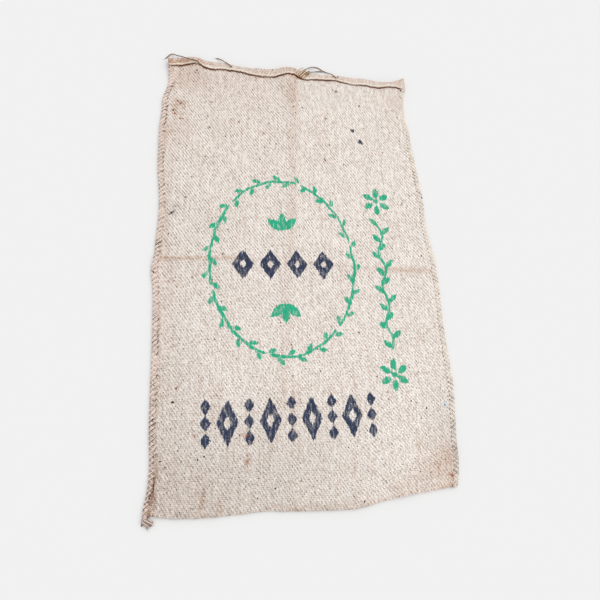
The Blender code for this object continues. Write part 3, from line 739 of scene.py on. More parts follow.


# %% [markdown]
# ## Marks of use
#
# A used sack is brown along its folds and stitches, dull where it has rubbed on the ground, and
# has bits of bark in its yarn. Noise alone would spread that evenly. Here each mark is a row of a
# table, set where wear would put it, and the finish breaks it up from yarn to yarn.
# Some marks are painted shade instead: under the hem's twine, along the turn of the bottom fold and towards
# the lower left. A painted highlight runs over the hem's twine.

# %% Bits of bark
# x, y and length in mm, and the kind
Fleck = namedtuple("Fleck", "x y length kind")
DARK_BARK, BROWN_BARK, RUST = "#2E211C", "#6B4636", "#9C6350"
PINK_STALK, GREY_LINT, BLUE = "#AD8175", "#55545A", "#129FD6"
FLECKS = (
    Fleck(-297, 536, 4, DARK_BARK), Fleck(-261, 533, 5, DARK_BARK), Fleck(-265, 527, 3, BROWN_BARK),
    Fleck(-308, 436, 6, BROWN_BARK), Fleck(-301, 430, 6, BROWN_BARK), Fleck(-293, 437, 4, BROWN_BARK),
    Fleck(-319, 409, 6, BROWN_BARK), Fleck(-316, 400, 7.5, RUST), Fleck(-302, 385, 6, BROWN_BARK),
    Fleck(-295, 385, 4, BROWN_BARK), Fleck(-222, 441, 4, BROWN_BARK), Fleck(-238, 441, 3, BROWN_BARK),
    Fleck(-232, 398, 3.5, BROWN_BARK), Fleck(-152, 386, 5, BROWN_BARK), Fleck(-228, 365, 6, BROWN_BARK),
    Fleck(-87, 357, 6, BROWN_BARK), Fleck(-238, 276, 4.5, BROWN_BARK), Fleck(-99, 278, 5, GREY_LINT),
    Fleck(21, 445, 6, DARK_BARK), Fleck(15, 466, 3, BROWN_BARK), Fleck(-3, 444, 4, BROWN_BARK),
    Fleck(123, 509, 7, BROWN_BARK), Fleck(114, 512, 3, BROWN_BARK), Fleck(187, 466, 7, BROWN_BARK),
    Fleck(87, 417, 6, BROWN_BARK), Fleck(75, 286, 9, BROWN_BARK), Fleck(92, 334, 5, BROWN_BARK),
    Fleck(243, 320, 4, RUST), Fleck(320, 530, 6, BROWN_BARK), Fleck(286, 462, 4, BROWN_BARK),
    Fleck(299, 439, 4, DARK_BARK), Fleck(271, 386, 3, GREY_LINT), Fleck(194, 394, 5, GREY_LINT),
    Fleck(-303, -327, 6, DARK_BARK), Fleck(-255, -400, 6, PINK_STALK), Fleck(-145, -405, 10, RUST),
    Fleck(-160, -403, 5, RUST), Fleck(-248, -447, 4.5, DARK_BARK), Fleck(-235, -442, 4.5, DARK_BARK),
    Fleck(-323, -445, 4.5, DARK_BARK), Fleck(-281, -448, 3, BROWN_BARK), Fleck(-313, -457, 4, BROWN_BARK),
    Fleck(-144, -446, 5, PINK_STALK), Fleck(-145, -458, 6, PINK_STALK), Fleck(-203, -531, 3.5, PINK_STALK),
    Fleck(-260, -538, 3, BROWN_BARK), Fleck(-125, -532, 4, DARK_BARK), Fleck(280, -369, 6, DARK_BARK),
    Fleck(187, -328, 5, PINK_STALK), Fleck(187, -344, 5, PINK_STALK), Fleck(107, -557, 5, DARK_BARK),
    Fleck(83, -544, 4, PINK_STALK), Fleck(321, -521, 7, RUST), Fleck(243, -351, 4, GREY_LINT),
    Fleck(129, -411, 3, DARK_BARK), Fleck(-195, 11, 5, BROWN_BARK), Fleck(-140, 27, 3.5, BROWN_BARK),
    Fleck(-219, -51, 3.5, DARK_BARK), Fleck(-306, -54, 3.5, BROWN_BARK), Fleck(-351.5, -34, 6, DARK_BARK),
    Fleck(-321, 61, 3, DARK_BARK), Fleck(151, 97, 4, BROWN_BARK), Fleck(284, 27, 4, PINK_STALK),
    Fleck(286, -70, 3.5, DARK_BARK), Fleck(-283, 160, 5.5, DARK_BARK), Fleck(-271, 217, 4, BROWN_BARK),
    Fleck(-316, 117, 7, DARK_BARK), Fleck(-311, 121, 6, GREY_LINT), Fleck(-320, 113, 4, GREY_LINT),
    Fleck(-321, 62, 4, GREY_LINT), Fleck(-295, -298, 5, BROWN_BARK), Fleck(-300, -328, 5, DARK_BARK),
    Fleck(-341, -360, 3.5, DARK_BARK), Fleck(-57, 558, 4, DARK_BARK), Fleck(-70, 552, 3, DARK_BARK),
    Fleck(-119, 569, 3, BROWN_BARK), Fleck(-73, 37, 3, RUST), Fleck(-62, 37, 2.6, RUST),
    Fleck(-52, 36, 3, RUST), Fleck(-41, 36, 2.6, RUST), Fleck(327, -364, 7, BLUE),
    Fleck(130, 556, 7.5, GREY_LINT), Fleck(-336.5, -435, 4, BROWN_BARK), Fleck(341, 185, 4, DARK_BARK),
    Fleck(-339, 308, 3.5, RUST),
)
print("bits of bark set by hand", len(FLECKS))

# %% Soil, stains, painted shade and a painted highlight
Stain = namedtuple("Stain", "x y reach_x reach_y amount")
LOW_LEFT_SHADE, LEFT_SIDE_SHADE, HEM_SOIL = 0.15, 0.06, 0.27  # painted shade towards the lower left and, less, over the whole left side, away from the light; HEM_SOIL browns the hem
HALO, HALO_REACH, BLOB = 0.3, 0.9, 7.0  # soil round a fleck, its reach in fleck lengths, a fat fleck's length
# a brown line inside the left seam: amount, mm in from the left side, width, and the y below which it fades
# out
SEAM_LINE_BROWN, SEAM_LINE_INSET, SEAM_LINE_WIDTH, SEAM_LINE_FOOT = 0.2, 12.5, 3.2, -460.0
TWINE_SHADE_AND_SOIL, HEM_HIGHLIGHT_LINE = (0.3, 2.5, 2.6), (2.8, 1.6)  # painted shade with some soil under the hem's twine: amount, mm from the raw edge and width; painted highlight over the twine: mm and width
HEM_TIGHT, LOW_TIGHT, TIGHT_FROM, TIGHT_OVER = 0.3, 0.45, 60.0, 300.0
UNDER_HEM_SHARE, BACK_BROWN_SHARE, BACK_GREY = 0.3, 0.5, 0.3  # what the hem and the back panel get
BROWN_STAINS_AND_SHADE = (
    Stain(-308, 556, 34, 9, 0.35),
    Stain(-334, 546, 7, 18, 0.45),
    Stain(-270, 560, 30, 8, 0.25),
    Stain(-300, 515, 55, 40, 0.35),
    Stain(-10, 500, 26, 60, 0.22),
    Stain(-90, 535, 60, 10, 0.2),
    Stain(14, 541, 14, 6, 0.6),
    Stain(120, 545, 50, 8, 0.25),
    Stain(322, 560, 12, 10, 0.15),
    Stain(305, -490, 46, 44, 0.22),
    Stain(325, -550, 40, 26, 0.45),
    Stain(275, -546, 60, 9, 0.2),
    Stain(-330, -520, 150, 90, 0.12),
    Stain(-332, -150, 30, 250, 0.15),
    Stain(-334, 335, 6, 45, 0.35),
    Stain(310, 505, 40, 30, 0.15),
    Stain(-150, 500, 120, 50, 0.08),
    Stain(322, -521, 9, 7, 0.4),
    Stain(-340, -500, 8, 60, 0.35),
    Stain(-333, -475, 7, 38, 0.6),
    Stain(-340, -512, 5, 22, 0.6),
    Stain(-345, -545, 16, 16, 0.4),
    Stain(-313, 420, 10, 26, 0.3),
    Stain(-300, 432, 18, 8, 0.25),
    Stain(-325, 110, 5, 160, 0.25),
    Stain(-200, 420, 190, 190, 0.07),
    Stain(300, 470, 60, 60, 0.10),
    # painted shade, with some soil, along the turn of the bottom fold
    Stain(0, -572, 330, 7, 0.18),
    Stain(-240, -530, 8, 26, 0.35),
    Stain(-142, -462, 6, 14, 0.4),
    Stain(-206, -545, 8, 14, 0.3),
    Stain(-310, 350, 30, 60, 0.15),
    # painted shade, with some soil, along the turn of the bottom fold
    Stain(0, -560, 260, 9, 0.2),
    Stain(-46, -560, 20, 16, 0.12),
)
GREY_STAINS_AND_SHADE = (
    Stain(-316, 118, 9, 6, 0.6),
    Stain(-306, 136, 9, 10, 0.3),
    Stain(-270, 60, 90, 130, 0.05),
    Stain(330, 573, 6, 6, 0.6),
    Stain(322, -400, 34, 80, 0.12),
    Stain(-300, -270, 60, 120, 0.12),
    # painted shade along the turn of the bottom fold
    Stain(0, -575, 330, 8, 0.25),
)


def stained(x, y, stains):
    """Sum of soft ovals: amount times the bell curve of the distance in reaches."""
    total = 0 * x
    for stain in stains:
        span = ((x - stain.x) / stain.reach_x) ** 2 + ((y - stain.y) / stain.reach_y) ** 2
        total = total + stain.amount * np.exp(-span)
    return total


def round_flecks(x, y):
    """The yarn is brown for a little way round each bit of bark."""
    total = 0 * x
    for fleck in FLECKS:
        if fleck.kind in (BROWN_BARK, RUST, PINK_STALK):
            away_squared = (x - fleck.x) ** 2 + (y - fleck.y) ** 2
            total = total + HALO * np.exp(-(away_squared / (HALO_REACH * fleck.length) ** 2))
    return total


def worn_folds(x, y):
    """Brown along each fold: a bell curve of the distance from it."""
    total = 0 * x
    for ridge in RIDGES:
        away = from_ridge(ridge, x, y)[0]
        total = np.maximum(total, ridge.soil * np.exp(-((away / ridge.reach) ** 2)))
    return total


print("stains", len(BROWN_STAINS_AND_SHADE), "brown and", len(GREY_STAINS_AND_SHADE), "grey")


# %% Put the distances and the soil on the cloth
def add_values(piece, name, values):
    """Gives a piece one number for each vertex, for its finish to read."""
    layer = piece.data.attributes.new(name, "FLOAT", "POINT")
    layer.data.foreach_set("value", np.ascontiguousarray(values, dtype=np.float32).ravel())


sheet_x, sheet_y = sheet_points[..., 0], sheet_points[..., 1]
print_x, print_y = sheet_x[front_rows], sheet_y[front_rows]
printed = {"line": line_distance, "line_cut": line_shown, "green": green_distance, "navy": navy_distance}
for name, distance_to in printed.items():
    values = np.full((2, row_count, COLUMNS), OUT_OF_PRINT)
    values[0, front_rows] = distance_to(print_x, print_y)
    add_values(cloth, name, values)
is_front = (np.arange(row_count) < first_row[4])[:, None]
on_hem = (np.arange(row_count) < first_row[2])[:, None]

# Brown: stains, folds, flecks, painted shade with some soil under the hem's twine, the left seam, and the
# whole hem
amount, aside, width = TWINE_SHADE_AND_SOIL
shade_and_soil_under_twine = amount * np.exp(-(((hem_line - aside - sheet_y) / width) ** 2))
shade_and_soil_under_twine[: first_row[2]] *= UNDER_HEM_SHARE
brown = stained(sheet_x, sheet_y, BROWN_STAINS_AND_SHADE) + worn_folds(sheet_x, sheet_y)
brown += round_flecks(sheet_x, sheet_y) + shade_and_soil_under_twine
beside_seam = (sheet_x - side_at(sheet_y, "left") - SEAM_LINE_INSET) / SEAM_LINE_WIDTH
brown += SEAM_LINE_BROWN * np.exp(-(beside_seam**2)) * ease((sheet_y - SEAM_LINE_FOOT) / 60.0)
brown += np.where(on_hem, HEM_SOIL, 0.0)

# Grey: stains, and painted shade over the low left part and a little over the whole left side
low = ease(-(sheet_y / 560.0 + 0.45) / 0.5)
low_left_shade = low * np.maximum(1.0 - sheet_x / np.where(sheet_x > 0.0, 200.0, 500.0), 0.1)
grey = stained(sheet_x, sheet_y, GREY_STAINS_AND_SHADE) + LOW_LEFT_SHADE * low_left_shade
grey = grey + LEFT_SIDE_SHADE * ease(0.5 - sheet_x / 600.0)

# Tight: how close the yarns are beaten. Hem highlight: a painted highlight, the lit top of the hem's rolled
# edge over its twine
tight = np.where(on_hem, HEM_TIGHT, LOW_TIGHT * ease((TIGHT_FROM - sheet_y) / TIGHT_OVER))
aside, width = HEM_HIGHLIGHT_LINE
highlight_over_twine = np.exp(-(((sheet_y - hem_line - aside) / width) ** 2))
# the cloth's values: how tight it is, the painted hem highlight, and brown and grey, which are soil with
# painted shade in them
soil = {
    "tight": tight,
    "hem_highlight": np.where(on_hem, highlight_over_twine, 0.0),
    "brown": np.where(is_front, brown, BACK_BROWN_SHARE * brown),
    "grey": np.where(is_front, grey, BACK_GREY),
}
for name, values in soil.items():
    add_values(cloth, name, np.stack([values] * 2))
print("print covers x", WREATH[0] - WREATH[2], "to", VINE_X + 30, "mm")

# %% [markdown]
# ## Twine
#
# Jute twine is two or three yarns laid round each other. A curve with a round bevel would look like
# wire, so twine here is a ring carried along a path: its radius dips between the yarns, and the
# dips turn with the distance run. The same function makes one thread or hundreds of fibres at once.


# %% Twine as a grooved ring along a path
def lengths_along(paths):
    """Distance run at each point of each path: the sum of the steps before it."""
    steps = np.linalg.norm(np.diff(paths, axis=1), axis=-1)
    return np.concatenate([np.zeros((len(paths), 1)), np.cumsum(steps, axis=1)], axis=1)


def twine_points(paths, radii, sides, up, plies=2, lay=7.0, groove=0.25):
    """Rings round paths (count, steps, 3): radius times 1 - groove (1 - |cos(plies/2 (angle - turn))|)."""
    along = np.gradient(paths, axis=1)
    along = along / np.linalg.norm(along, axis=-1, keepdims=True)
    side = np.cross(np.broadcast_to(up, along.shape), along)
    side = side / np.linalg.norm(side, axis=-1, keepdims=True)
    over = np.cross(along, side)
    angle = 2 * math.pi * np.arange(sides) / sides
    run = lengths_along(paths)
    turn = 2 * math.pi * run / lay
    swell = 1.0 - groove * (1.0 - np.abs(np.cos(plies / 2 * (angle - turn[..., None]))))
    ring = np.broadcast_to(radii, run.shape)[..., None] * swell
    spokes = np.cos(angle)[:, None] * side[:, :, None] + np.sin(angle)[:, None] * over[:, :, None]
    points = paths[:, :, None] + ring[..., None] * spokes
    wind = np.stack(np.broadcast_arrays(np.cos(angle), np.sin(angle), run[..., None] * MM), -1)
    return points, wind


def twine_faces(count, steps, sides):
    """Quads between neighbouring rings, and one face over each end."""
    index = np.arange(count * steps * sides).reshape(count, steps, sides)
    after = np.roll(index, -1, axis=2)
    quads = np.stack([index[:, :-1], after[:, :-1], after[:, 1:], index[:, 1:]], -1).reshape(-1, 4)
    ends = np.concatenate([index[:, 0, ::-1], index[:, -1]])
    return quads.tolist() + ends.tolist()


def make_twine(name, bundles):
    """One piece from bundles of paths. A bundle holds what twine_points takes, and how pale it is."""
    all_points, all_wind, all_pale, all_faces, start = [], [], [], [], 0
    for bundle in bundles:
        pale = bundle.pop("pale", 0.5)
        points, wind = twine_points(**bundle)
        faces = twine_faces(*points.shape[:3])
        all_faces += [[corner + start for corner in face] for face in faces]
        all_points.append(points.reshape(-1, 3))
        all_wind.append(wind.reshape(-1, 3))
        all_pale.append(np.broadcast_to(pale, points.shape[:3]).ravel())
        start += points.shape[0] * points.shape[1] * points.shape[2]
    piece = mesh_piece(name, np.concatenate(all_points), all_faces)
    layer = piece.data.attributes.new("wind", "FLOAT_VECTOR", "POINT")
    layer.data.foreach_set("vector", np.concatenate(all_wind).astype(np.float32).ravel())
    add_values(piece, "pale", np.concatenate(all_pale))
    return piece


# %% Routes, and rays down on the cloth
ROUTE_FINENESS = 500  # steps in which a route is measured before it is cut into even ones
UP = np.array((0.0, 0.0, 1.0))
ALONG_SACK = np.array((0.0, 1.0, 0.0))
bpy.context.view_layer.update()
cloth_tree = BVHTree.FromObject(cloth, bpy.context.evaluated_depsgraph_get())


def smooth_route(points, count):
    """Even points along a smooth curve through the route's own points."""
    points = np.array(points, dtype=float)
    knots = np.concatenate([[0.0], np.cumsum(np.linalg.norm(np.diff(points, axis=0), axis=1))])
    fine = np.linspace(0.0, knots[-1], ROUTE_FINENESS)
    dense = np.stack([follow(fine, knots, points[:, k]) for k in range(points.shape[1])], axis=1)
    run = np.concatenate([[0.0], np.cumsum(np.linalg.norm(np.diff(dense[:, :3], axis=0), axis=1))])
    even = np.linspace(0.0, run[-1], count)
    return np.stack([np.interp(even, run, dense[:, k]) for k in range(points.shape[1])], axis=1)


def height_on_cloth(x, y, from_above=True):
    """Height of the cloth's outermost face in mm, by a ray straight down or straight up."""
    sense = 1.0 if from_above else -1.0
    hit = cloth_tree.ray_cast(Vector((x * MM, y * MM, sense * 0.1)), Vector((0.0, 0.0, -sense)))[0]
    return np.nan if hit is None else hit.z / MM


print("cloth is", round(height_on_cloth(0.0, 0.0), 1), "mm high in its middle")

# %% [markdown]
# ## Loose ends of the closing twine
#
# The mouth was sewn shut and cut open again, which leaves short ends: one over the left corner, one
# on its own, and three beside a bound bunch of strands. Each is a free cord, so it keeps the route
# of its solid, point for point, and says how long it is.

# %% Routes of the loose ends
THREAD_LEFT = (
    (-249.5, 548, 16.0), (-254.5, 551.2, 18.0), (-260.2, 555.4, 19.2), (-266.1, 557.6, 19.4),
    (-274.9, 560, 18.2), (-285.5, 563.8, 16.8), (-295.1, 567.6, 15.4), (-303, 571.7, 13.4),
    (-311, 576, 9.6), (-317.5, 581.5, 6.2), (-325, 585.8, 3.6), (-332.5, 584.6, 2.2),
    (-338.5, 578, 1.4), (-344.5, 571.5, 1.35),
)
THREAD_SHORT = (
    (-168, 552.6, 13.0), (-176.4, 559.5, 13.0), (-183.1, 564.7, 13.4), (-188, 569, 11.8), (-191.5, 575, 7.8),
    (-196.8, 582, 4.4), (-204.7, 586.8, 2.0), (-211.5, 588.2, 1.4),
)
THREAD_ARCH = (
    (13.5, 543, 17.2), (20, 551, 16.8), (28, 562, 14.6), (36, 570, 11.2), (45, 578, 8.2), (56, 586, 4.8),
    (67, 590, 2.2), (77, 588.5, 1.5), (87.5, 581.7, 1.5), (97, 576.6, 2.0), (104.5, 571.8, 4.2),
    (109.5, 566.8, 7.8), (113, 561.5, 11.6), (116.8, 556.5, 13.3), (120.4, 552.2, 14.0), (125.1, 545.4, 14.9),
)
THREAD_LOW = (
    (48.2, 558.5, 14.7), (55, 563.3, 11.0), (63, 569, 6.8), (72.5, 574.6, 3.4), (80.5, 577.8, 1.6),
    (88.5, 576.3, 1.35),
)
STRAND_OVER = ((7, 546, 17.7), (13, 554, 18.4), (19, 563, 16.8), (25, 571, 13.0), (31, 577, 9.2))
Strand = namedtuple("Strand", "name points route")
STRANDS = (
    Strand("thread_left", 120, THREAD_LEFT),
    Strand("thread_short", 70, THREAD_SHORT),
    Strand("thread_arch", 160, THREAD_ARCH),
    Strand("thread_low", 60, THREAD_LOW),
    Strand("strand_over", 52, STRAND_OVER),
)
print("loose ends", [strand.name for strand in STRANDS])

# %% Twine along each route, with frayed tips
TWINE_RADIUS, TWINE_LAY, TWINE_SIDES = 1.25, 6.0, 10
TIP_SHARE, TIP_LENGTH = 0.55, 5.0  # the last millimetres thin to this share at the tip
FRAY_FIBRES, FRAY_STEPS, FRAY_LENGTH, FRAY_RADIUS = 7, 6, 6.0, 0.12
FRAY_SPREAD, FRAY_LEVEL = 0.35, (1.0, 1.0, 0.35)  # how far fibres lean out, and less so upwards


def frayed_end(tip, behind, seed):
    """Thin fibres that fan out from a cut end, each a short bent path."""
    draw = np.random.default_rng(seed)
    heading = (tip - behind) / np.linalg.norm(tip - behind)
    t = np.linspace(0.0, 1.0, FRAY_STEPS)[None, :, None]
    spread = draw.normal(0.0, FRAY_SPREAD, (FRAY_FIBRES, 1, 3)) * np.array(FRAY_LEVEL)
    reach = FRAY_LENGTH * draw.uniform(0.5, 1.0, (FRAY_FIBRES, 1, 1))
    paths = tip + reach * t * (heading + spread * t)
    paths[..., 2] = np.maximum(paths[..., 2], FRAY_RADIUS)
    thinning = FRAY_RADIUS * (1.0 - 0.6 * t[..., 0])
    return {"paths": paths, "radii": thinning, "sides": 4, "up": UP + spread[:, :1]}


loose_ends = []
for seed, strand in enumerate(STRANDS):
    route = smooth_route(strand.route, strand.points)
    length = float(np.linalg.norm(np.diff(route, axis=0), axis=1).sum())
    from_tip = np.linspace(0.0, length / TIP_LENGTH, strand.points)[::-1]
    thin = np.minimum(1.0, TIP_SHARE + (1.0 - TIP_SHARE) * from_tip)
    rope = {
        "paths": route[None], "radii": TWINE_RADIUS * thin, "sides": TWINE_SIDES, "up": UP,
        "lay": TWINE_LAY, "groove": 0.35,
    }
    piece = make_twine(strand.name + "_twine", [rope])
    fray = make_twine(strand.name + "_fray", [frayed_end(route[-1], route[-4], seed)])
    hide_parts(strand.name)
    loose_ends += [piece, fray]
    print(strand.name, round(length), "mm")

# %% [markdown]
# ## The bound strands
#
# Where the closing seam ended, its strands come through the hem side by side, run over the lip as a
# fan and stop just past the mouth, where the last of them are bound together. The solid is the bound
# part. Each strand is laid on the cloth by rays cast down on it, and then droops past the edge.

# %% A fan of strands, and the twine wound round their ends
FanStrand = namedtuple("FanStrand", "x0 y0 x1 y1 pale")
FAN = (
    FanStrand(14.5, 542.5, 34.2, 568.0, 1.1),
    FanStrand(17.2, 541.0, 36.6, 565.8, -0.1),
    FanStrand(19.8, 539.5, 38.9, 563.6, 1.1),
    FanStrand(22.4, 538.2, 41.2, 561.4, 0.0),
    FanStrand(25.0, 536.8, 43.5, 559.2, 1.0),
    FanStrand(27.6, 535.5, 45.8, 557.0, 0.4),
)
FAN_STEPS, FAN_RADIUS, FAN_DROOP = 40, 1.6, 0.35
WINDING_LINE = ((34.5, 547.5, 15.6), (38.5, 551.5, 15.6), (42.5, 555.0, 15.2), (46.5, 558.5, 14.4))
WINDING_TURNS, WINDING_REACH, WINDING_RADIUS, WINDING_STEPS = 3.5, 3.0, 1.1, 120


def frame_along(route):
    """Sideways and upward unit vectors at each point of a route that lies nearly flat."""
    along = np.gradient(route, axis=0)
    along = along / np.linalg.norm(along, axis=1, keepdims=True)
    side = np.cross(UP, along)
    side = side / np.linalg.norm(side, axis=1, keepdims=True)
    return side, np.cross(along, side)


def wound_round(route, reach, angles):
    """Path that circles a route: route + reach (cos side + sin upward)."""
    side, upward = frame_along(route)
    return route + reach[:, None] * (np.cos(angles)[:, None] * side + np.sin(angles)[:, None] * upward)


def laid_over_lip(strand):
    """A straight strand on the cloth, that droops by a share of the way it goes past the edge."""
    t = np.linspace(0.0, 1.0, FAN_STEPS)
    x, y = strand.x0 + t * (strand.x1 - strand.x0), strand.y0 + t * (strand.y1 - strand.y0)
    top = np.array([height_on_cloth(a, b) for a, b in zip(x, y)])
    run = t * math.hypot(strand.x1 - strand.x0, strand.y1 - strand.y0)
    found = ~np.isnan(top)
    past = np.maximum(run - run[found][-1], 0.0)
    level = np.interp(run, run[found], top[found])
    level = np.convolve(np.pad(level, 4, mode="edge"), np.full(9, 1 / 9), mode="valid")
    return np.stack([x, y, level - FAN_DROOP * past + 1.2 * FAN_RADIUS], axis=-1)


fan_paths = np.array([laid_over_lip(strand) for strand in FAN])
fan_pale = np.array([strand.pale for strand in FAN])[:, None, None]
winding_line = smooth_route(WINDING_LINE, WINDING_STEPS)
winding_angle = np.linspace(0.0, 2 * math.pi * WINDING_TURNS, WINDING_STEPS)
winding = wound_round(winding_line, np.full(WINDING_STEPS, WINDING_REACH), winding_angle)
fan = {"paths": fan_paths, "radii": FAN_RADIUS, "sides": 9, "up": UP, "lay": TWINE_LAY, "pale": fan_pale}
wound = {
    "paths": winding[None], "radii": WINDING_RADIUS, "sides": 8, "up": winding_line[-1] - winding_line[0],
    "lay": TWINE_LAY, "pale": 0.05,
}
knot = make_twine("closing_knot_wound", [fan, wound, frayed_end(fan_paths[4, -1], fan_paths[4, -4], 17)])
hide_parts("closing_knot")
print("bound strands", len(knot.data.polygons), "faces")

# %% [markdown]
# ## Side seams
#
# Both edges of the sack are folded together and sewn over with two threads, each of two soft yarns
# side by side. One thread runs up the sack and one runs back, so their stitches cross on the roll of
# cloth as a row of Vs. The roll is a flattened tube whose surface sinks under the stitches, and each
# yarn is one helix that leans as it goes over the top. Short separate stitches would do, but a helix
# also shows right where it passes the edge and underneath.

# %% Roll of cloth at each side
ROLL_HALF_WIDTH, ROLL_HALF_HEIGHT, ROLL_SIDES = 6.4, 2.35, 20
ROLL_PUFF, ROLL_OUTER_INSET, ROLL_STEP = 0.5, 1.0, 1.75
STITCH_RADIUS, STITCH_LEAN, STITCH_STEPS = 0.85, 0.30, 16
OVERSEWN_LOW, OVERSEWN_HIGH = {"left": -551.0, "right": -547.0}, {"left": 541.0, "right": 566.0}
STITCH_PROUD = {1: 0.35, -1: 1.0}  # the thread that runs back lies over the one that runs up
ROLL_SOIL, ROLL_TIGHT, ROLL_STAIN_SHARE = {"left": 0.25, "right": 0.0}, 0.35, 0.5
SEAM_LAY = 6.5  # mm for one turn of a seam yarn's plies
DRAWN_FROM, DRAWN_OVER, DRAWN_SHARE = -455.0, 95.0, 0.3  # the left seam narrows towards its foot


def seam_line(y, field):
    """Middle of the roll: its x from the outline, its z halfway between the panels' cloth."""
    inward = 1.0 if field == "left" else -1.0
    edge = side_at(y, field)
    x = edge + inward * (ROLL_OUTER_INSET + ROLL_HALF_WIDTH)
    cloth_x = edge + inward * SEAM_LEG
    z = back_height(cloth_x, y) + 0.5 * EDGE_PITCH
    return x, np.maximum(z, ROLL_HALF_HEIGHT + 0.9)


def roll_narrowing(y, field):
    """1, falling at the foot of the left side, where the seam is drawn together into its tail."""
    drawn = ease((DRAWN_FROM - y) / DRAWN_OVER) if field == "left" else 0.0
    return 1.0 - DRAWN_SHARE * drawn


def make_roll(name, field):
    """Flattened tube: half width cos(a), half height sin(a) to the power 0.8, puffed between stitches."""
    low, high = OVERSEWN_LOW[field], OVERSEWN_HIGH[field]
    y = np.arange(low, high, ROLL_STEP)
    x, z = seam_line(y, field)
    inward = 1.0 if field == "left" else -1.0
    angle = 2 * math.pi * np.arange(ROLL_SIDES) / ROLL_SIDES
    out, rise = inward * np.cos(angle), -inward * np.sin(angle)
    phase = math.pi * (y[:, None] - low) / STITCH_PITCH
    lean = 0.5 * math.pi * np.cos(angle)
    quilt = np.abs(np.sin(phase - lean) * np.sin(phase + lean))
    height = (ROLL_HALF_HEIGHT + ROLL_PUFF * quilt) * np.sign(rise) * np.abs(rise) ** 0.8
    ends = np.minimum(1.0, (np.minimum(y - y[0], y[-1] - y) + 1.5) / 5.0)[:, None]
    width = ROLL_HALF_WIDTH * (0.55 + 0.45 * ends) + 0.35 * quilt
    narrow = roll_narrowing(y, field)[:, None] if field == "left" else 1.0
    middle = x[:, None] + inward * width * (narrow - 1.0)
    roll_points = (middle + out * width * narrow, y[:, None] + 0 * out, z[:, None] + height * ends)
    points = np.stack(roll_points, axis=-1)
    roll = mesh_piece(name, points.reshape(-1, 3), twine_faces(1, len(y), ROLL_SIDES))
    around = np.arange(ROLL_SIDES + 1) * 2 * math.pi * ROLL_HALF_WIDTH * 0.7 / ROLL_SIDES
    flat = np.stack(np.broadcast_arrays(around[None, :], y[:, None]), -1) * MM
    on_sides = np.stack([flat[:-1, :-1], flat[:-1, 1:], flat[1:, 1:], flat[1:, :-1]], axis=2)
    on_ends = np.concatenate([flat[0, :-1][::-1], flat[-1, :-1]])
    add_map(roll, "weave", np.concatenate([on_sides.reshape(-1, 2), on_ends]))
    soil_here = stained(points[..., 0], points[..., 1], BROWN_STAINS_AND_SHADE)
    soil_here = ROLL_STAIN_SHARE * soil_here + ROLL_SOIL[field]
    add_values(roll, "brown", soil_here)
    add_values(roll, "tight", np.full_like(soil_here, ROLL_TIGHT))
    return roll


def oversewing(field, sense, shift):
    """A leaning helix round the roll. sense 1 runs towards the mouth and -1 runs back. shift is along y."""
    inward = 1.0 if field == "left" else -1.0
    low, high = OVERSEWN_LOW[field], OVERSEWN_HIGH[field]
    turns = int((high - low) / STITCH_PITCH) - 1
    angle = np.linspace(0.0, 2 * math.pi * turns, turns * STITCH_STEPS + 1)
    run = STITCH_PITCH * (angle / (2 * math.pi) - STITCH_LEAN * np.cos(angle))
    start = low + 0.5 * STITCH_PITCH if sense > 0 else high - 0.5 * STITCH_PITCH
    y = start + shift + sense * run
    x, z = seam_line(y, field)
    narrow = roll_narrowing(y, field)
    x = x + inward * (ROLL_HALF_WIDTH + 0.3) * (narrow * (1.0 + np.cos(angle)) - 1.0)
    z = z + (ROLL_HALF_HEIGHT + STITCH_PROUD[sense]) * np.sign(np.sin(angle)) * np.abs(np.sin(angle)) ** 0.7
    return np.stack([x, y, np.maximum(z, STITCH_RADIUS)], axis=-1)


def uneven_tone(count, middle, spread, seed, reach=60):
    """A tone that drifts along a thread, between random values reach points apart."""
    values = np.random.default_rng(seed).normal(middle, spread, max(count // reach, 2))
    return np.interp(np.linspace(0.0, 1.0, count), np.linspace(0.0, 1.0, len(values)), values)


# %% Where the stitches dive
# Bits of twine at the stitch holes: mm apart, half thickness, length, mm beside the roll, the y they
# show up to, and how pale they are
# Their low pale values are brown twine and partly painted shade, where the yarn dives into its hole
Hole = namedtuple("Hole", "apart radius length aside up_to pale")
HOLES = {
    "left": Hole(12.5, 1.4, 2.1, -0.8, 500.0, 0.3),
    "right": Hole(STITCH_PITCH, 0.85, 1.0, 0.3, 345.0, 0.15),
}


def stitch_holes(field):
    """Where stitches dive into the cloth: short thick dark bits of twine, mostly sunk. Their darkness is
    partly painted shade in the holes.
    """
    inward = 1.0 if field == "left" else -1.0
    bit = HOLES[field]
    y = np.arange(OVERSEWN_LOW[field] + 0.5 * STITCH_PITCH, bit.up_to, bit.apart)
    x, z = seam_line(y, field)
    x = x + inward * (ROLL_HALF_WIDTH + bit.aside)
    top = np.array([height_on_cloth(a + inward * 1.5, b) for a, b in zip(x, y)])
    steps = np.array((-2.0, -0.7, 0.7, 2.0))
    length = bit.length * np.random.default_rng(31).uniform(0.5, 1.2, (len(y), 1))
    arched = top[:, None] + 0.7 - 0.25 * np.abs(steps)
    paths = np.stack([x[:, None] + 0.5 * steps * length, y[:, None] + steps * length, arched], axis=-1)
    tone = bit.pale + np.random.default_rng(32).uniform(-0.35, 0.35, (len(y), 1, 1))
    return {"paths": paths, "radii": bit.radius, "sides": 7, "up": UP, "lay": SEAM_LAY, "pale": tone}


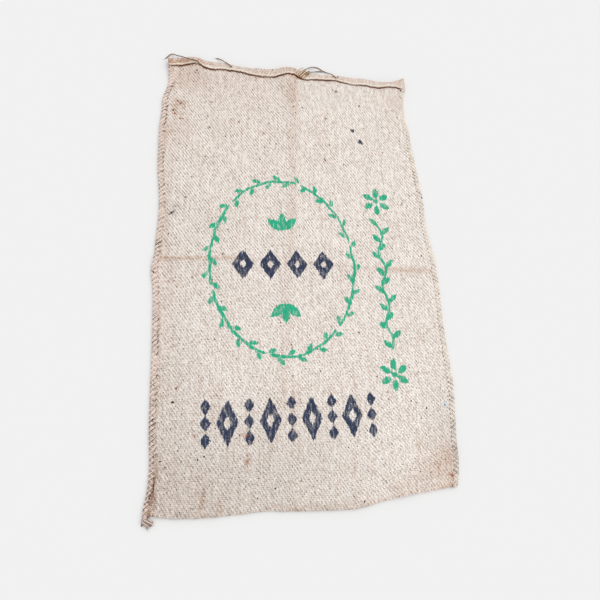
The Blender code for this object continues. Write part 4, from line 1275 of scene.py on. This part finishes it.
# %% Draw thread
# The left seam's last hand's breadth is drawn in by a dark thread along its inner side
DRAW_THREAD = (
    (-335.9, -428.2), (-333.3, -435.1), (-332.8, -442.9), (-333.9, -452.4), (-331.5, -464.1),
    (-331.4, -471.7), (-332.4, -481.1), (-333.2, -491.7), (-334.2, -500.1), (-336.9, -505.0),
    (-339.8, -508.3), (-340.7, -514.9), (-340.6, -522.6),
)
DRAW_STEPS, DRAW_BEADS, DRAW_RADIUS, DRAW_BEAD = 90, 15.0, 1.0, 0.8


def brown_draw_thread():
    """The route laid on the cloth or on the roll, whichever is higher, and beaded by its stitches."""
    x, y = smooth_route(DRAW_THREAD, DRAW_STEPS).T
    x = x - 1.0 + 0.7 * np.sin(y / 2.1)
    top = np.array([height_on_cloth(max(a, cloth_side(b, "left") + 0.5), b) for a, b in zip(x, y)])
    top = np.where(np.isnan(top), np.nanmean(top), top)
    roll_x, roll_z = seam_line(y, "left")
    across_roll = (x - roll_x) / (ROLL_HALF_WIDTH + 1.5)
    roll_top = roll_z + (ROLL_HALF_HEIGHT + 1.6) * np.sqrt(np.clip(1.0 - across_roll**2, 0.0, 1.0))
    path = np.stack([x, y, np.maximum(top + 0.9, roll_top)], axis=-1)
    beads = np.abs(np.sin(math.pi * np.linspace(0.0, 1.0, DRAW_STEPS) * DRAW_BEADS))
    tone = uneven_tone(3 * DRAW_STEPS, 0.1, 0.15, 6)[::3] + 0.2 * (1.0 - beads)
    return {
        "paths": path[None], "radii": DRAW_RADIUS + DRAW_BEAD * beads, "sides": 7, "up": UP,
        "lay": SEAM_LAY, "pale": tone[None, :, None],
    }


# %% Both seams
# For each yarn: the way it runs, its shift along y in mm, and how pale it is
YARN_TONES = {
    "left": ((1, -1.2, 0.95), (1, 1.2, 0.8), (-1, -1.2, 0.75), (-1, 1.2, 0.95)),
    "right": ((1, -1.2, 1.0), (1, 1.2, 0.95), (-1, -1.2, 0.9), (-1, 1.2, 1.05)),
}
TONE_SPREAD = {"left": 0.3, "right": 0.36}
DARK_YARNS, DARKER_BY = (1, 2), 0.2  # two of the left side's four yarns are darker, partly soil and partly painted shade between the braid's yarns
DARK_STRETCHES = ((25.0, 35.0, 0.25), (-385.0, 60.0, 0.5))  # y, reach and how much darker still
LEFT_FOOT = (-430.0, 50.0, 0.25)  # from this y down, over this distance, by so much
RIGHT_FOOT = (-230.0, 200.0, 0.45)


def darker_foot(y, foot):
    """0 above the foot, easing to its full amount below."""
    start, over, amount = foot
    return amount * ease((start - y) / over)


def darker_stretches(y):
    """Tone of a dark yarn: a base, less a bell curve at each stretch, less the darker foot."""
    tone = -DARKER_BY
    for middle, reach, amount in DARK_STRETCHES:
        tone = tone - amount * np.exp(-(((y - middle) / reach) ** 2))
    return tone - darker_foot(y, LEFT_FOOT)


seam_pieces = {}
for field in ("left", "right"):
    roll = make_roll("side_roll_" + field, field)
    yarns = [stitch_holes(field)]
    for number, (sense, shift, tone) in enumerate(YARN_TONES[field]):
        path = oversewing(field, sense, shift)
        seed = number + (10 if field == "left" else 20)
        pale = uneven_tone(len(path), tone, TONE_SPREAD[field], seed, STITCH_STEPS)
        if field == "right":
            pale = pale - darker_foot(path[:, 1], RIGHT_FOOT)
        elif number in DARK_YARNS:
            pale = pale + darker_stretches(path[:, 1])
        yarns.append(
            {
                "paths": path[None], "radii": STITCH_RADIUS, "sides": 6, "up": ALONG_SACK,
                "lay": SEAM_LAY, "pale": pale[None, :, None],
            }
        )
    if field == "left":
        yarns.append(brown_draw_thread())
    thread = make_twine("side_stitches_" + field, yarns)
    for piece in (roll, thread):
        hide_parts("side_seam_" + field)
    seam_pieces[field] = (roll, thread)
    print("side", field, len(roll.data.polygons) + len(thread.data.polygons), "faces")

# %% [markdown]
# ## Tail of the seam's twine
#
# At the lower left corner the seam's yarns are cut long. They come down together, turn aside and
# lie on the ground as a small tassel, two layers of yarns side by side. One cut end has gone dark.

# %% Seam tail
TailYarn = namedtuple("TailYarn", "turn_y end_x end_y pale")
TAIL_YARNS = (
    TailYarn(-545.5, -334.5, -556.0, 0.55),
    TailYarn(-548.6, -332.8, -558.8, 0.2),
    TailYarn(-551.7, -333.0, -561.8, 0.6),
    TailYarn(-554.8, -335.0, -564.6, 0.1),
    TailYarn(-557.9, -338.5, -567.2, 0.5),
    TailYarn(-561.0, -342.5, -569.0, 0.25),
)
TAIL_YARN_RADIUS, TAIL_STEPS, TAIL_LOWER, TAIL_UPPER, TAIL_START_Z = 1.45, 40, 1.5, 3.9, 4.8
TAIL_LEG_X, TAIL_LEG_TOP = -351.5, -541.0
tail_yarns = []
for layer_z, shift in ((TAIL_LOWER, -1.4), (TAIL_UPPER, 0.0)):
    for k, yarn in enumerate(TAIL_YARNS):
        leg_x, turn_y = TAIL_LEG_X - 0.3 * k, yarn.turn_y + shift
        leg_top = (leg_x + 2.0, TAIL_LEG_TOP, TAIL_START_Z)
        leg_foot = (leg_x + 0.8, turn_y + 1.8, layer_z + 0.5)
        bend = (TAIL_LEG_X + 4.5, turn_y - 2.2, layer_z)
        end = (yarn.end_x + shift, yarn.end_y + 0.7 * shift, layer_z)
        past_bend = tuple(0.45 * a + 0.55 * b for a, b in zip(bend, end))
        tail_yarns.append(smooth_route((leg_top, leg_foot, bend, past_bend, end), TAIL_STEPS))
dark_end = smooth_route(((-352.8, -549.0, 3.6), (-353.9, -556.0, 2.2), (-354.6, -563.5, 1.5)), TAIL_STEPS)
to_tip = np.linspace(0.0, 1.0, TAIL_STEPS)
tail_tone = np.array([yarn.pale for yarn in TAIL_YARNS] * 2)[:, None, None]
bundle = {
    "paths": np.array(tail_yarns), "radii": TAIL_YARN_RADIUS * (1.0 - 0.25 * to_tip**6), "sides": 9,
    "up": UP, "lay": 7.0, "groove": 0.2, "pale": tail_tone,
}
dark_yarn = {
    "paths": dark_end[None], "radii": TAIL_YARN_RADIUS, "sides": 9, "up": UP,
    "pale": -0.35 + 0.6 * (1 - to_tip)[None, :, None],
}
frays = [frayed_end(tail_yarns[k][-1], tail_yarns[k][-4], seed) for k, seed in ((2, 23), (5, 24))]
tail = make_twine("seam_tail_yarns", [bundle, dark_yarn, *frays])
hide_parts("seam_tail")
print("tail yarns", len(tail_yarns) + 1)

# %% [markdown]
# ## Hem stitches
#
# A dark twine holds the hem down close under its rolled edge, in a chain of long stitches. It lies
# in the hollow against the panel. Rays are cast down on the finished cloth, so that the twine
# touches it all along, and it thins where it sinks behind the edge.

# %% Hem twine laid on the cloth
HEM_TWINE_RADIUS, HEM_TWINE_INSET, HEM_TWINE_STEPS = 1.1, 14.0, 520
HEM_STITCH, HEM_CLEAR = 9.0, 0.9  # stitch length, and the twine's distance from the raw edge
Thickness = namedtuple("Thickness", "x reach change")
HEM_TWINE_CHANGES = (
    Thickness(-26, 22, 0.3),
    Thickness(14, 12, 0.7),
    Thickness(192, 26, -0.5),
    Thickness(255, 40, 0.25),
    Thickness(-232, 26, 0.35),
    Thickness(-260, 7, -0.45),
    Thickness(-300, 16, 0.2),
    Thickness(325, 10, -0.4),
    Thickness(-325, 8, -0.3),
)


def hem_twine_path(edge_y, from_above):
    """Follows the hem's raw edge a little way off, with the small wave of its stitches."""
    left = side_at(PANEL_TOP, "left") + HEM_TWINE_INSET
    right = side_at(PANEL_TOP, "right") - HEM_TWINE_INSET
    x = np.linspace(left, right, HEM_TWINE_STEPS)
    stitch = np.sin(2 * math.pi * x / HEM_STITCH + 1.5 * np.sin(x / 29.0))
    y = np.interp(x, top_x, edge_y) - HEM_TWINE_RADIUS - HEM_CLEAR + 0.45 * stitch
    y = y + 0.7 * np.sin(x / 4.3 + 2.0 * np.sin(x / 31.0))
    z = np.array([height_on_cloth(a, b, from_above) for a, b in zip(x, y)])
    radius = HEM_TWINE_RADIUS * (1.0 + 0.3 * np.sin(x / 13.0 + 2.0 * np.sin(x / 41.0)))
    radius = radius + sum(row.change * np.exp(-(((x - row.x) / row.reach) ** 2)) for row in HEM_TWINE_CHANGES)
    away = 0.75 * radius + 0.35 * np.cos(2 * math.pi * x / HEM_STITCH)
    z = z + away if from_above else np.maximum(z - away, radius)
    return np.stack([x, y, z], axis=-1), radius


hem_twines = []
for name, edge_y, from_above in (("front", hem_line, True), ("back", back_hem_line, False)):
    path, radius = hem_twine_path(edge_y, from_above)
    bundle = {"paths": path[None], "radii": radius, "sides": 8, "up": UP, "lay": 5.5, "groove": 0.35}
    twine = make_twine("hem_stitches_" + name, [bundle])
    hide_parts("hem_twine_" + name)
    hem_twines.append(twine)
print("hem twine", round(float(lengths_along(path[None])[0, -1])), "mm long")

# %% [markdown]
# ## Bits caught in the cloth
#
# Raw jute brings pieces of its stalk along, and a used sack picks up more. They lie in the weave as
# dark bark flecks a few millimetres long, with a few coloured ones. Painting them into the weave
# would leave them flat, so they are short bent rods that sink half into the cloth.

# %% Flecks
RANDOM_FLECKS, FLECK_STEPS, FLECK_SIDES = 300, 5, 6
BLOB_GROWTH, FLECK_SINK = 1.4, 0.45  # a fat fleck is thicker; every fleck sinks by a share of its radius
draw = np.random.default_rng(7)
random_y = draw.uniform(-548.0, 528.0, RANDOM_FLECKS)
random_x = draw.uniform(-325.0, 318.0, RANDOM_FLECKS)
random_length = 1.8 + 2.8 * draw.random(RANDOM_FLECKS) ** 2
kinds_drawn = [DARK_BARK, BROWN_BARK, BROWN_BARK, BROWN_BARK, PINK_STALK, GREY_LINT]
random_kind = draw.choice(kinds_drawn, RANDOM_FLECKS)
all_flecks = list(FLECKS) + [Fleck(*row) for row in zip(random_x, random_y, random_length, random_kind)]
fleck_x, fleck_y, fleck_length = np.array([fleck[:3] for fleck in all_flecks]).T
fleck_turn = draw.normal(-1.0, 0.6, len(all_flecks))  # most lie along the wales
t = np.linspace(-0.5, 0.5, FLECK_STEPS)
bend = fleck_turn[:, None] + draw.uniform(-1.2, 1.2, len(all_flecks))[:, None] * t
fleck_paths = np.stack(
    [
        fleck_x[:, None] + fleck_length[:, None] * t * np.cos(bend),
        fleck_y[:, None] + fleck_length[:, None] * t * np.sin(bend),
        np.zeros_like(bend),
    ],
    axis=-1,
)
fleck_paths[..., 2] = [[height_on_cloth(x, y) for x, y in path[:, :2]] for path in fleck_paths]
for field in ("left", "right"):
    roll_x, roll_z = seam_line(fleck_paths[..., 1], field)
    on_roll = np.abs(fleck_paths[..., 0] - roll_x) < ROLL_HALF_WIDTH
    fleck_paths[..., 2] = np.where(on_roll, roll_z + ROLL_HALF_HEIGHT + 1.2, fleck_paths[..., 2])
fleck_radius = np.clip(0.5 * fleck_length, 0.8, 2.4)[:, None] * np.sqrt(1.02 - (2 * t) ** 2)
fleck_radius[fleck_length == BLOB] *= BLOB_GROWTH
fleck_paths[..., 2] += 0.2 - FLECK_SINK * fleck_radius  # set into the cloth, so a low back shows
flecks = make_twine(
    "bark_flecks",
    [{"paths": fleck_paths, "radii": fleck_radius, "sides": FLECK_SIDES, "up": UP, "plies": 2, "lay": 40.0}],
)
fleck_colours = np.array([linear(fleck.kind) for fleck in all_flecks])
per_vertex = np.repeat(fleck_colours, FLECK_STEPS * FLECK_SIDES, axis=0)
layer = flecks.data.attributes.new("bark", "FLOAT_COLOR", "POINT")
layer.data.foreach_set("color", per_vertex.astype(np.float32).ravel())
print("flecks", len(all_flecks))

# %% [markdown]
# ## Jute twill
#
# Each warp yarn passes over two wefts and under one, one step on from its neighbour, so the floats
# line up in diagonals. The shader counts yarns with the weave map: the sine across a yarn is its
# roundness, and the place in the repeat of three says which yarn is on top. A picture of cloth
# would repeat and blur. The formula stays sharp, and its height also drives the bump.

# %% Weave height
WARP_PITCH, WEFT_PITCH = 0.00262, 0.0036  # metres from yarn to yarn
YARN_WOBBLE = 0.0026  # metres by which yarns wander
WALE_SHARE = 0.3  # the diagonal rib's share of the height


def weave_height(tree):
    """The twill's height from 0 to 1, the place on the flat sheet in metres, and each float's own tone."""
    flat = add_node(tree, "UVMap", uv_map="weave")
    drift = add_node(tree, "TexNoise", flat, 26.0, 4.0, 0.58, out=1)
    wobble = (2 * YARN_WOBBLE, 2 * YARN_WOBBLE, 0.0)
    place = add_node(tree, "VectorMath", drift, wobble, flat, operation="MULTIPLY_ADD")
    axes = add_node(tree, "SeparateXYZ", place).node.outputs
    warp_count = add_node(tree, "Math", axes["X"], WARP_PITCH, operation="DIVIDE")
    weft_count = add_node(tree, "Math", axes["Y"], WEFT_PITCH, operation="DIVIDE")
    warp_number = add_node(tree, "Math", warp_count, operation="FLOOR")
    step = add_node(tree, "Math", weft_count, warp_number, operation="SUBTRACT")
    third = add_node(tree, "Math", step, 3.0, operation="DIVIDE")
    repeat = add_node(tree, "Math", third, operation="FRACT")
    turn = add_node(tree, "Math", repeat, 1.5 * math.pi, operation="MULTIPLY")
    swing = add_node(tree, "Math", turn, operation="SINE")
    warp_up = add_node(tree, "Math", swing, 0.0, operation="MAXIMUM")
    warp_run = add_node(tree, "Math", warp_up, 0.4, operation="POWER")
    warp_turn = add_node(tree, "Math", warp_count, math.pi, operation="MULTIPLY")
    warp_sine = add_node(tree, "Math", warp_turn, operation="SINE")
    warp_round = add_node(tree, "Math", warp_sine, operation="ABSOLUTE")
    warp = add_node(tree, "Math", warp_run, warp_round, operation="MULTIPLY")
    weft_turn = add_node(tree, "Math", weft_count, math.pi, operation="MULTIPLY")
    weft_sine = add_node(tree, "Math", weft_turn, operation="SINE")
    weft_round = add_node(tree, "Math", weft_sine, operation="ABSOLUTE")
    weft_up = add_node(tree, "Math", swing, -3.0, operation="MULTIPLY", use_clamp=True)
    weft_level = add_node(tree, "Math", weft_up, 0.25, 0.25, operation="MULTIPLY_ADD")
    weft = add_node(tree, "Math", weft_round, weft_level, operation="MULTIPLY")
    yarns = add_node(tree, "Math", warp, weft, operation="MAXIMUM")
    # the floats next to each other stand up together as a diagonal rib, the wale
    rib = add_node(tree, "Math", warp_up, WALE_SHARE, operation="MULTIPLY")
    height = add_node(tree, "Math", yarns, 1.0 - WALE_SHARE, rib, operation="MULTIPLY_ADD")
    # every float is a piece of yarn with a tone of its own
    float_number = add_node(tree, "Math", third, operation="FLOOR")
    which_float = add_node(tree, "CombineXYZ", warp_number, float_number)
    own_tone = add_node(tree, "TexWhiteNoise", which_float, noise_dimensions="2D")
    return height, place, own_tone


print("twill repeats every", round(3000 * WARP_PITCH, 1), "by", round(3000 * WEFT_PITCH, 1), "mm")

# %% Soil, painted shade and a painted highlight
BROWN_SOIL_AND_SHADE, GREY_SOIL_AND_SHADE, HEM_HIGHLIGHT_COLOUR = linear("#D0AA90"), linear("#8C8680"), linear("#FFF6E6")
STREAK_SOIL, HEM_HIGHLIGHT_SHARE = 0.3, 0.65  # how much of its colour a streak or the painted hem highlight takes on


def soiled_and_shaded(tree, cloth_colour, place, own_tone):
    """Multiplies brown and grey in, which carry painted shade as well as soil: the cloth's own value times
    blotchy noise says how much. Then mixes in the painted hem highlight.
    """
    blotches = add_node(tree, "TexNoise", place, 85.0, 3.0, 0.65)
    uneven = add_node(tree, "Math", own_tone, 0.4, blotches, operation="MULTIPLY_ADD")
    uneven = add_node(tree, "MapRange", uneven, 0.5, 0.9, 0.45, 1.55)
    # yarns that were browner all along show as faint upright streaks
    streak_place = add_node(tree, "VectorMath", place, (150.0, 7.0, 1.0), operation="MULTIPLY")
    streaks = add_node(tree, "TexNoise", streak_place, 1.0, 3.0, 0.6)
    streaks = add_node(tree, "MapRange", streaks, 0.5, 0.75, 0.0, STREAK_SOIL)
    multiply = {"data_type": "RGBA", "blend_type": "MULTIPLY"}
    cloth_colour = add_node(tree, "Mix", streaks, cloth_colour, BROWN_SOIL_AND_SHADE, **multiply)
    for name, colour in (("brown", BROWN_SOIL_AND_SHADE), ("grey", GREY_SOIL_AND_SHADE)):
        amount = add_node(tree, "Attribute", attribute_name=name, out=2)
        amount = add_node(tree, "Math", amount, uneven, operation="MULTIPLY", use_clamp=True)
        cloth_colour = add_node(tree, "Mix", amount, cloth_colour, colour, **multiply)
    # painted highlight: the lit top of the hem's rolled edge, over its twine
    hem_highlight = add_node(tree, "Attribute", attribute_name="hem_highlight", out=2)
    hem_highlight = add_node(tree, "Math", hem_highlight, HEM_HIGHLIGHT_SHARE, operation="MULTIPLY")
    return add_node(tree, "Mix", hem_highlight, cloth_colour, HEM_HIGHLIGHT_COLOUR, data_type="RGBA"), blotches


# %% Ink
INK_EDGE, LINE_HALF_WIDTH = 1.8, 3.4  # mm of ragged edge, and half the thin line's width
GREEN_INK, NAVY_INK = linear("#1EA881"), linear("#27344F")


def inked_over(tree, cloth_colour, height, place, own_tone, blotches):
    """Mixes ink in where distance plus noise is below 0: it takes on floats and misses deep gaps."""
    ragged = add_node(tree, "TexNoise", place, 520.0, 2.0, 0.6)
    uptake = add_node(tree, "Math", own_tone, 0.45, ragged, operation="MULTIPLY_ADD")
    rough_edge = add_node(tree, "MapRange", uptake, 0.35, 1.1, -INK_EDGE, INK_EDGE)
    rough_edge = add_node(tree, "Math", height, -1.3, rough_edge, operation="MULTIPLY_ADD")
    worn_ink = add_node(tree, "Math", blotches, 0.8, uptake, operation="MULTIPLY_ADD")
    patchy = add_node(tree, "MapRange", worn_ink, 1.5, 1.15, 0.5, 0.98)
    line = add_node(tree, "Attribute", attribute_name="line", out=2)
    line = add_node(tree, "Math", line, operation="ABSOLUTE")
    cut = add_node(tree, "Attribute", attribute_name="line_cut", out=2)
    uncut = add_node(tree, "MapRange", cut, 0.0, 1.0, 2 * LINE_HALF_WIDTH, 0.0)
    line = add_node(tree, "Math", line, uncut, operation="ADD")
    line = add_node(tree, "Math", line, LINE_HALF_WIDTH, operation="SUBTRACT")
    green = add_node(tree, "Attribute", attribute_name="green", out=2)
    green = add_node(tree, "Math", green, line, operation="MINIMUM")
    navy = add_node(tree, "Attribute", attribute_name="navy", out=2)
    for distance, colour in ((green, GREEN_INK), (navy, NAVY_INK)):
        edge = add_node(tree, "Math", distance, rough_edge, operation="ADD")
        inked = add_node(tree, "MapRange", edge, -1.1, 0.1, 1.0, 0.0)
        inked = add_node(tree, "Math", inked, patchy, operation="MULTIPLY")
        cloth_colour = add_node(tree, "Mix", inked, cloth_colour, colour, data_type="RGBA")
    return cloth_colour


# %% Twill finish
# the darkest colour is painted shade, for the gaps between yarns
TWILL_PALE, TWILL_TAN, TWILL_GAP_SHADE = linear("#FFFAF3"), linear("#DACABF"), linear("#7F6859")
WEAVE_DEPTH = 0.0005  # metres from the top of a float down to a gap


def jute_twill(name, printed):
    """Pale coarse cloth in which every float shows, with painted shade in its gaps and worn ink on it where
    printed says so.
    """
    made, tree, shader = new_finish(name, 0.9, 0.12)
    height, place, own_tone = weave_height(tree)
    # yarn by yarn: long thin noise along the warp, and a second along the weft
    along_warp = add_node(tree, "VectorMath", place, (420.0, 9.0, 1.0), operation="MULTIPLY")
    warp_tone = add_node(tree, "TexNoise", along_warp, 1.0, 2.0, 0.6)
    along_weft = add_node(tree, "VectorMath", place, (14.0, 300.0, 1.0), operation="MULTIPLY")
    weft_tone = add_node(tree, "TexNoise", along_weft, 1.0, 2.0, 0.6)
    # slubs: thick and thin places in the yarn, which also raise it
    slub_place = add_node(tree, "VectorMath", place, (160.0, 115.0, 1.0), operation="MULTIPLY")
    slubs = add_node(tree, "TexNoise", slub_place, 1.0, 1.0, 0.5)
    mottle = add_node(tree, "TexNoise", place, 11.0, 4.0, 0.62)
    # fibre colour from pale to tan, with painted shade in the gaps between yarns
    tone = add_node(tree, "Math", weft_tone, 0.6, warp_tone, operation="MULTIPLY_ADD")
    tone = add_node(tree, "Math", mottle, 0.25, tone, operation="MULTIPLY_ADD")
    tone = add_node(tree, "Math", slubs, 2.2, tone, operation="MULTIPLY_ADD")
    tone = add_node(tree, "Math", own_tone, 0.95, tone, operation="MULTIPLY_ADD")
    tone = add_node(tree, "MapRange", tone, 1.5, 2.8, 0.0, 1.0)
    fibre = add_node(tree, "Mix", tone, TWILL_TAN, TWILL_PALE, data_type="RGBA")
    # some gaps get little painted shade, and a few are dark holes
    other_tone = add_node(tree, "Math", own_tone, 7.31, operation="MULTIPLY")
    other_tone = add_node(tree, "Math", other_tone, operation="FRACT")
    darkness = add_node(tree, "Math", other_tone, 2.0, operation="POWER")
    darkness = add_node(tree, "Math", darkness, 1.0, 0.5, operation="MULTIPLY_ADD")
    # the hem and the lower half are beaten tighter and show less of a gap
    tight = add_node(tree, "Attribute", attribute_name="tight", out=2)
    open_share = add_node(tree, "Math", tight, -0.7, 1.0, operation="MULTIPLY_ADD")
    darkness = add_node(tree, "Math", darkness, open_share, operation="MULTIPLY")
    gap_shade = add_node(tree, "MapRange", height, 0.02, 0.48, 1.0, 0.0)
    gap_shade = add_node(tree, "Math", gap_shade, darkness, operation="MULTIPLY")
    # crushed spots in the yarns, finer than a float, that catch a little shade
    spot_place = add_node(tree, "VectorMath", place, (360.0, 270.0, 1.0), operation="MULTIPLY")
    spots = add_node(tree, "TexNoise", spot_place, 1.0, 1.0, 0.5)
    spots = add_node(tree, "MapRange", spots, 0.5, 0.75, 0.0, 1.25)
    gap_shade = add_node(tree, "Math", spots, tight, gap_shade, operation="MULTIPLY_ADD", use_clamp=True)
    cloth_colour = add_node(tree, "Mix", gap_shade, fibre, TWILL_GAP_SHADE, data_type="RGBA")
    cloth_colour, blotches = soiled_and_shaded(tree, cloth_colour, place, own_tone)
    if printed:
        cloth_colour = inked_over(tree, cloth_colour, height, place, own_tone, blotches)
    tree.links.new(cloth_colour, shader.inputs["Base Color"])
    relief = add_node(tree, "Math", slubs, 0.35, height, operation="MULTIPLY_ADD")
    relief = add_node(tree, "Math", relief, open_share, operation="MULTIPLY")
    bump = add_node(tree, "Bump", 0.9, WEAVE_DEPTH, None, relief)
    tree.links.new(bump, shader.inputs["Normal"])
    return made


printed_twill = jute_twill("jute_twill_printed", printed=True)
plain_twill = jute_twill("jute_twill_plain", printed=False)
print("twill finishes of", [len(twill.node_tree.nodes) for twill in (printed_twill, plain_twill)], "nodes")

# %% [markdown]
# ## Jute twine
#
# Twine shows its plies first: two pale ridges that climb round it, with a dark line between them that is
# painted shade. The wind value on each piece holds the angle round the twine and the run along it, so one
# formula follows every thread however it bends. Fibre streaks use the same turn, so they follow the plies.

# %% Twine finishes
TWINE_COLOURS = {
    # finish: pale fibre, dark fibre; the dark one is also the painted shade in the grooves between plies
    "closing_twine": ("#EDD6B4", "#7D634D"),  # straw with painted shade in its grooves, so that strands stay apart
    "loose_twine": ("#96795F", "#553F2E"),  # thin brown lines on the pale floor
    "seam_twine": ("#FFF5E9", "#6E5B4D"),  # nearly white stitches along the right side
    "soiled_twine": ("#FDEDE2", "#5C3527"),  # pale stitches that turn red-brown where they are soiled
    "hem_twine": ("#7E4528", "#36160A"),  # a thin rusty line under the mouth
}


def jute_twine(name, pale, dark, lay=0.006, groove_depth=0.0003):
    """Two plies: |cos(angle - turn)| is 1 on a ply's back and 0 in the groove between two, which is painted
    darker as shade.
    """
    made, tree, shader = new_finish("jute_" + name, 0.88, 0.15)
    wind_value = add_node(tree, "Attribute", attribute_name="wind", out=1)
    wind = add_node(tree, "SeparateXYZ", wind_value).node.outputs
    angle = add_node(tree, "Math", wind["Y"], wind["X"], operation="ARCTAN2")
    turned = add_node(tree, "Math", wind["Z"], -2 * math.pi / lay, angle, operation="MULTIPLY_ADD")
    across_ply = add_node(tree, "Math", turned, operation="COSINE")
    ridge = add_node(tree, "Math", across_ply, operation="ABSOLUTE")
    streak_place = add_node(tree, "CombineXYZ", across_ply, ridge, wind["Z"])
    streak_place = add_node(tree, "VectorMath", streak_place, (7.0, 7.0, 90.0), operation="MULTIPLY")
    streaks = add_node(tree, "TexNoise", streak_place, 1.0, 3.0, 0.6)
    own_tone = add_node(tree, "Attribute", attribute_name="pale", out=2)
    tone = add_node(tree, "Math", streaks, 1.3, own_tone, operation="MULTIPLY_ADD")
    # painted shade: the groove between two plies is darker
    tone = add_node(tree, "Math", ridge, 0.3, tone, operation="MULTIPLY_ADD")
    tone = add_node(tree, "MapRange", tone, 0.75, 1.75, 0.0, 1.0)
    colour = add_node(tree, "Mix", tone, linear(dark), linear(pale), data_type="RGBA")
    tree.links.new(colour, shader.inputs["Base Color"])
    relief = add_node(tree, "Math", streaks, 0.5, ridge, operation="MULTIPLY_ADD")
    tree.links.new(add_node(tree, "Bump", 0.8, groove_depth, None, relief), shader.inputs["Normal"])
    return made


twines = {name: jute_twine(name, *colours) for name, colours in TWINE_COLOURS.items()}
# each fleck has one flat colour of its own: dark and rusty dots that break up the pale twill
bark, bark_tree, bark_shader = new_finish("jute_stalk_bark", 0.7)
bark_tree.links.new(add_node(bark_tree, "Attribute", attribute_name="bark"), bark_shader.inputs["Base Color"])
print("twine finishes", len(twines))

# %% [markdown]
# ## Which finish goes where
#
# The twine of the left side has taken on dirt and that of the right side is cleaner, so they are
# two finishes of one yarn. Each piece could be given its finish where it is made. One list of
# pairs shows them all at once and is easier to change.

# %% Dress every piece
dressed = [(cloth, printed_twill), (flecks, bark)]
dressed += [(knot, twines["closing_twine"]), (tail, twines["soiled_twine"])]
dressed += [(roll, plain_twill) for roll, thread in seam_pieces.values()]
dressed += [(seam_pieces["left"][1], twines["soiled_twine"]), (seam_pieces["right"][1], twines["seam_twine"])]
dressed += [(piece, twines["hem_twine"]) for piece in hem_twines]
for piece in loose_ends:
    dressed.append((piece, twines["closing_twine" if "over" in piece.name else "loose_twine"]))
for piece, finish in dressed:
    piece.data.materials.append(finish)
print("pieces dressed", len(dressed))

# %% [markdown]
# ## Floor and light
#
# The sack lies on a plain pale floor in even light, brightest from the upper right, with hardly a
# shadow. A softbox close by would leave a bright patch on the floor, so a wide sun and a white
# surround light it, and the floor comes out the same all over.

# %% Floor, sun and surround
FLOOR_HALF, FLOOR_DROP = 8.0, 0.0004  # metres
SUN_STRENGTH, SUN_SPREAD, SURROUND = 0.91, math.radians(50), 0.856
SUN_TURN = (math.radians(38), 0.0, math.radians(128))

signs = ((-1, -1), (1, -1), (1, 1), (-1, 1))
floor_mesh = bpy.data.meshes.new("studio_floor")
floor_mesh.from_pydata([(x * FLOOR_HALF, y * FLOOR_HALF, -FLOOR_DROP) for x, y in signs], [], [(0, 1, 2, 3)])
floor = bpy.data.objects.new("studio_floor", floor_mesh)
# dull light-grey paper, a little darker than the cloth's palest yarns
floor_finish, _, floor_shader = new_finish("studio_paper", 0.95, 0.0)
floor_shader.inputs["Base Color"].default_value = linear("#E9E9E9")
floor_mesh.materials.append(floor_finish)
sun_lamp = bpy.data.lights.new("studio_sun", "SUN")
sun_lamp.energy, sun_lamp.angle = SUN_STRENGTH, SUN_SPREAD
sun = bpy.data.objects.new("studio_sun", sun_lamp)
sun.rotation_euler = SUN_TURN
for thing in (floor, sun):
    bpy.context.scene.collection.objects.link(thing)

surround = bpy.data.worlds.new("studio_surround")
surround.use_nodes = True
background = surround.node_tree.nodes["Background"]
background.inputs["Color"].default_value = (1.0, 1.0, 1.0, 1.0)
background.inputs["Strength"].default_value = SURROUND
bpy.context.scene.world = surround
bpy.context.scene.view_settings.view_transform = "Standard"
print("sun", SUN_STRENGTH, "surround", SURROUND)
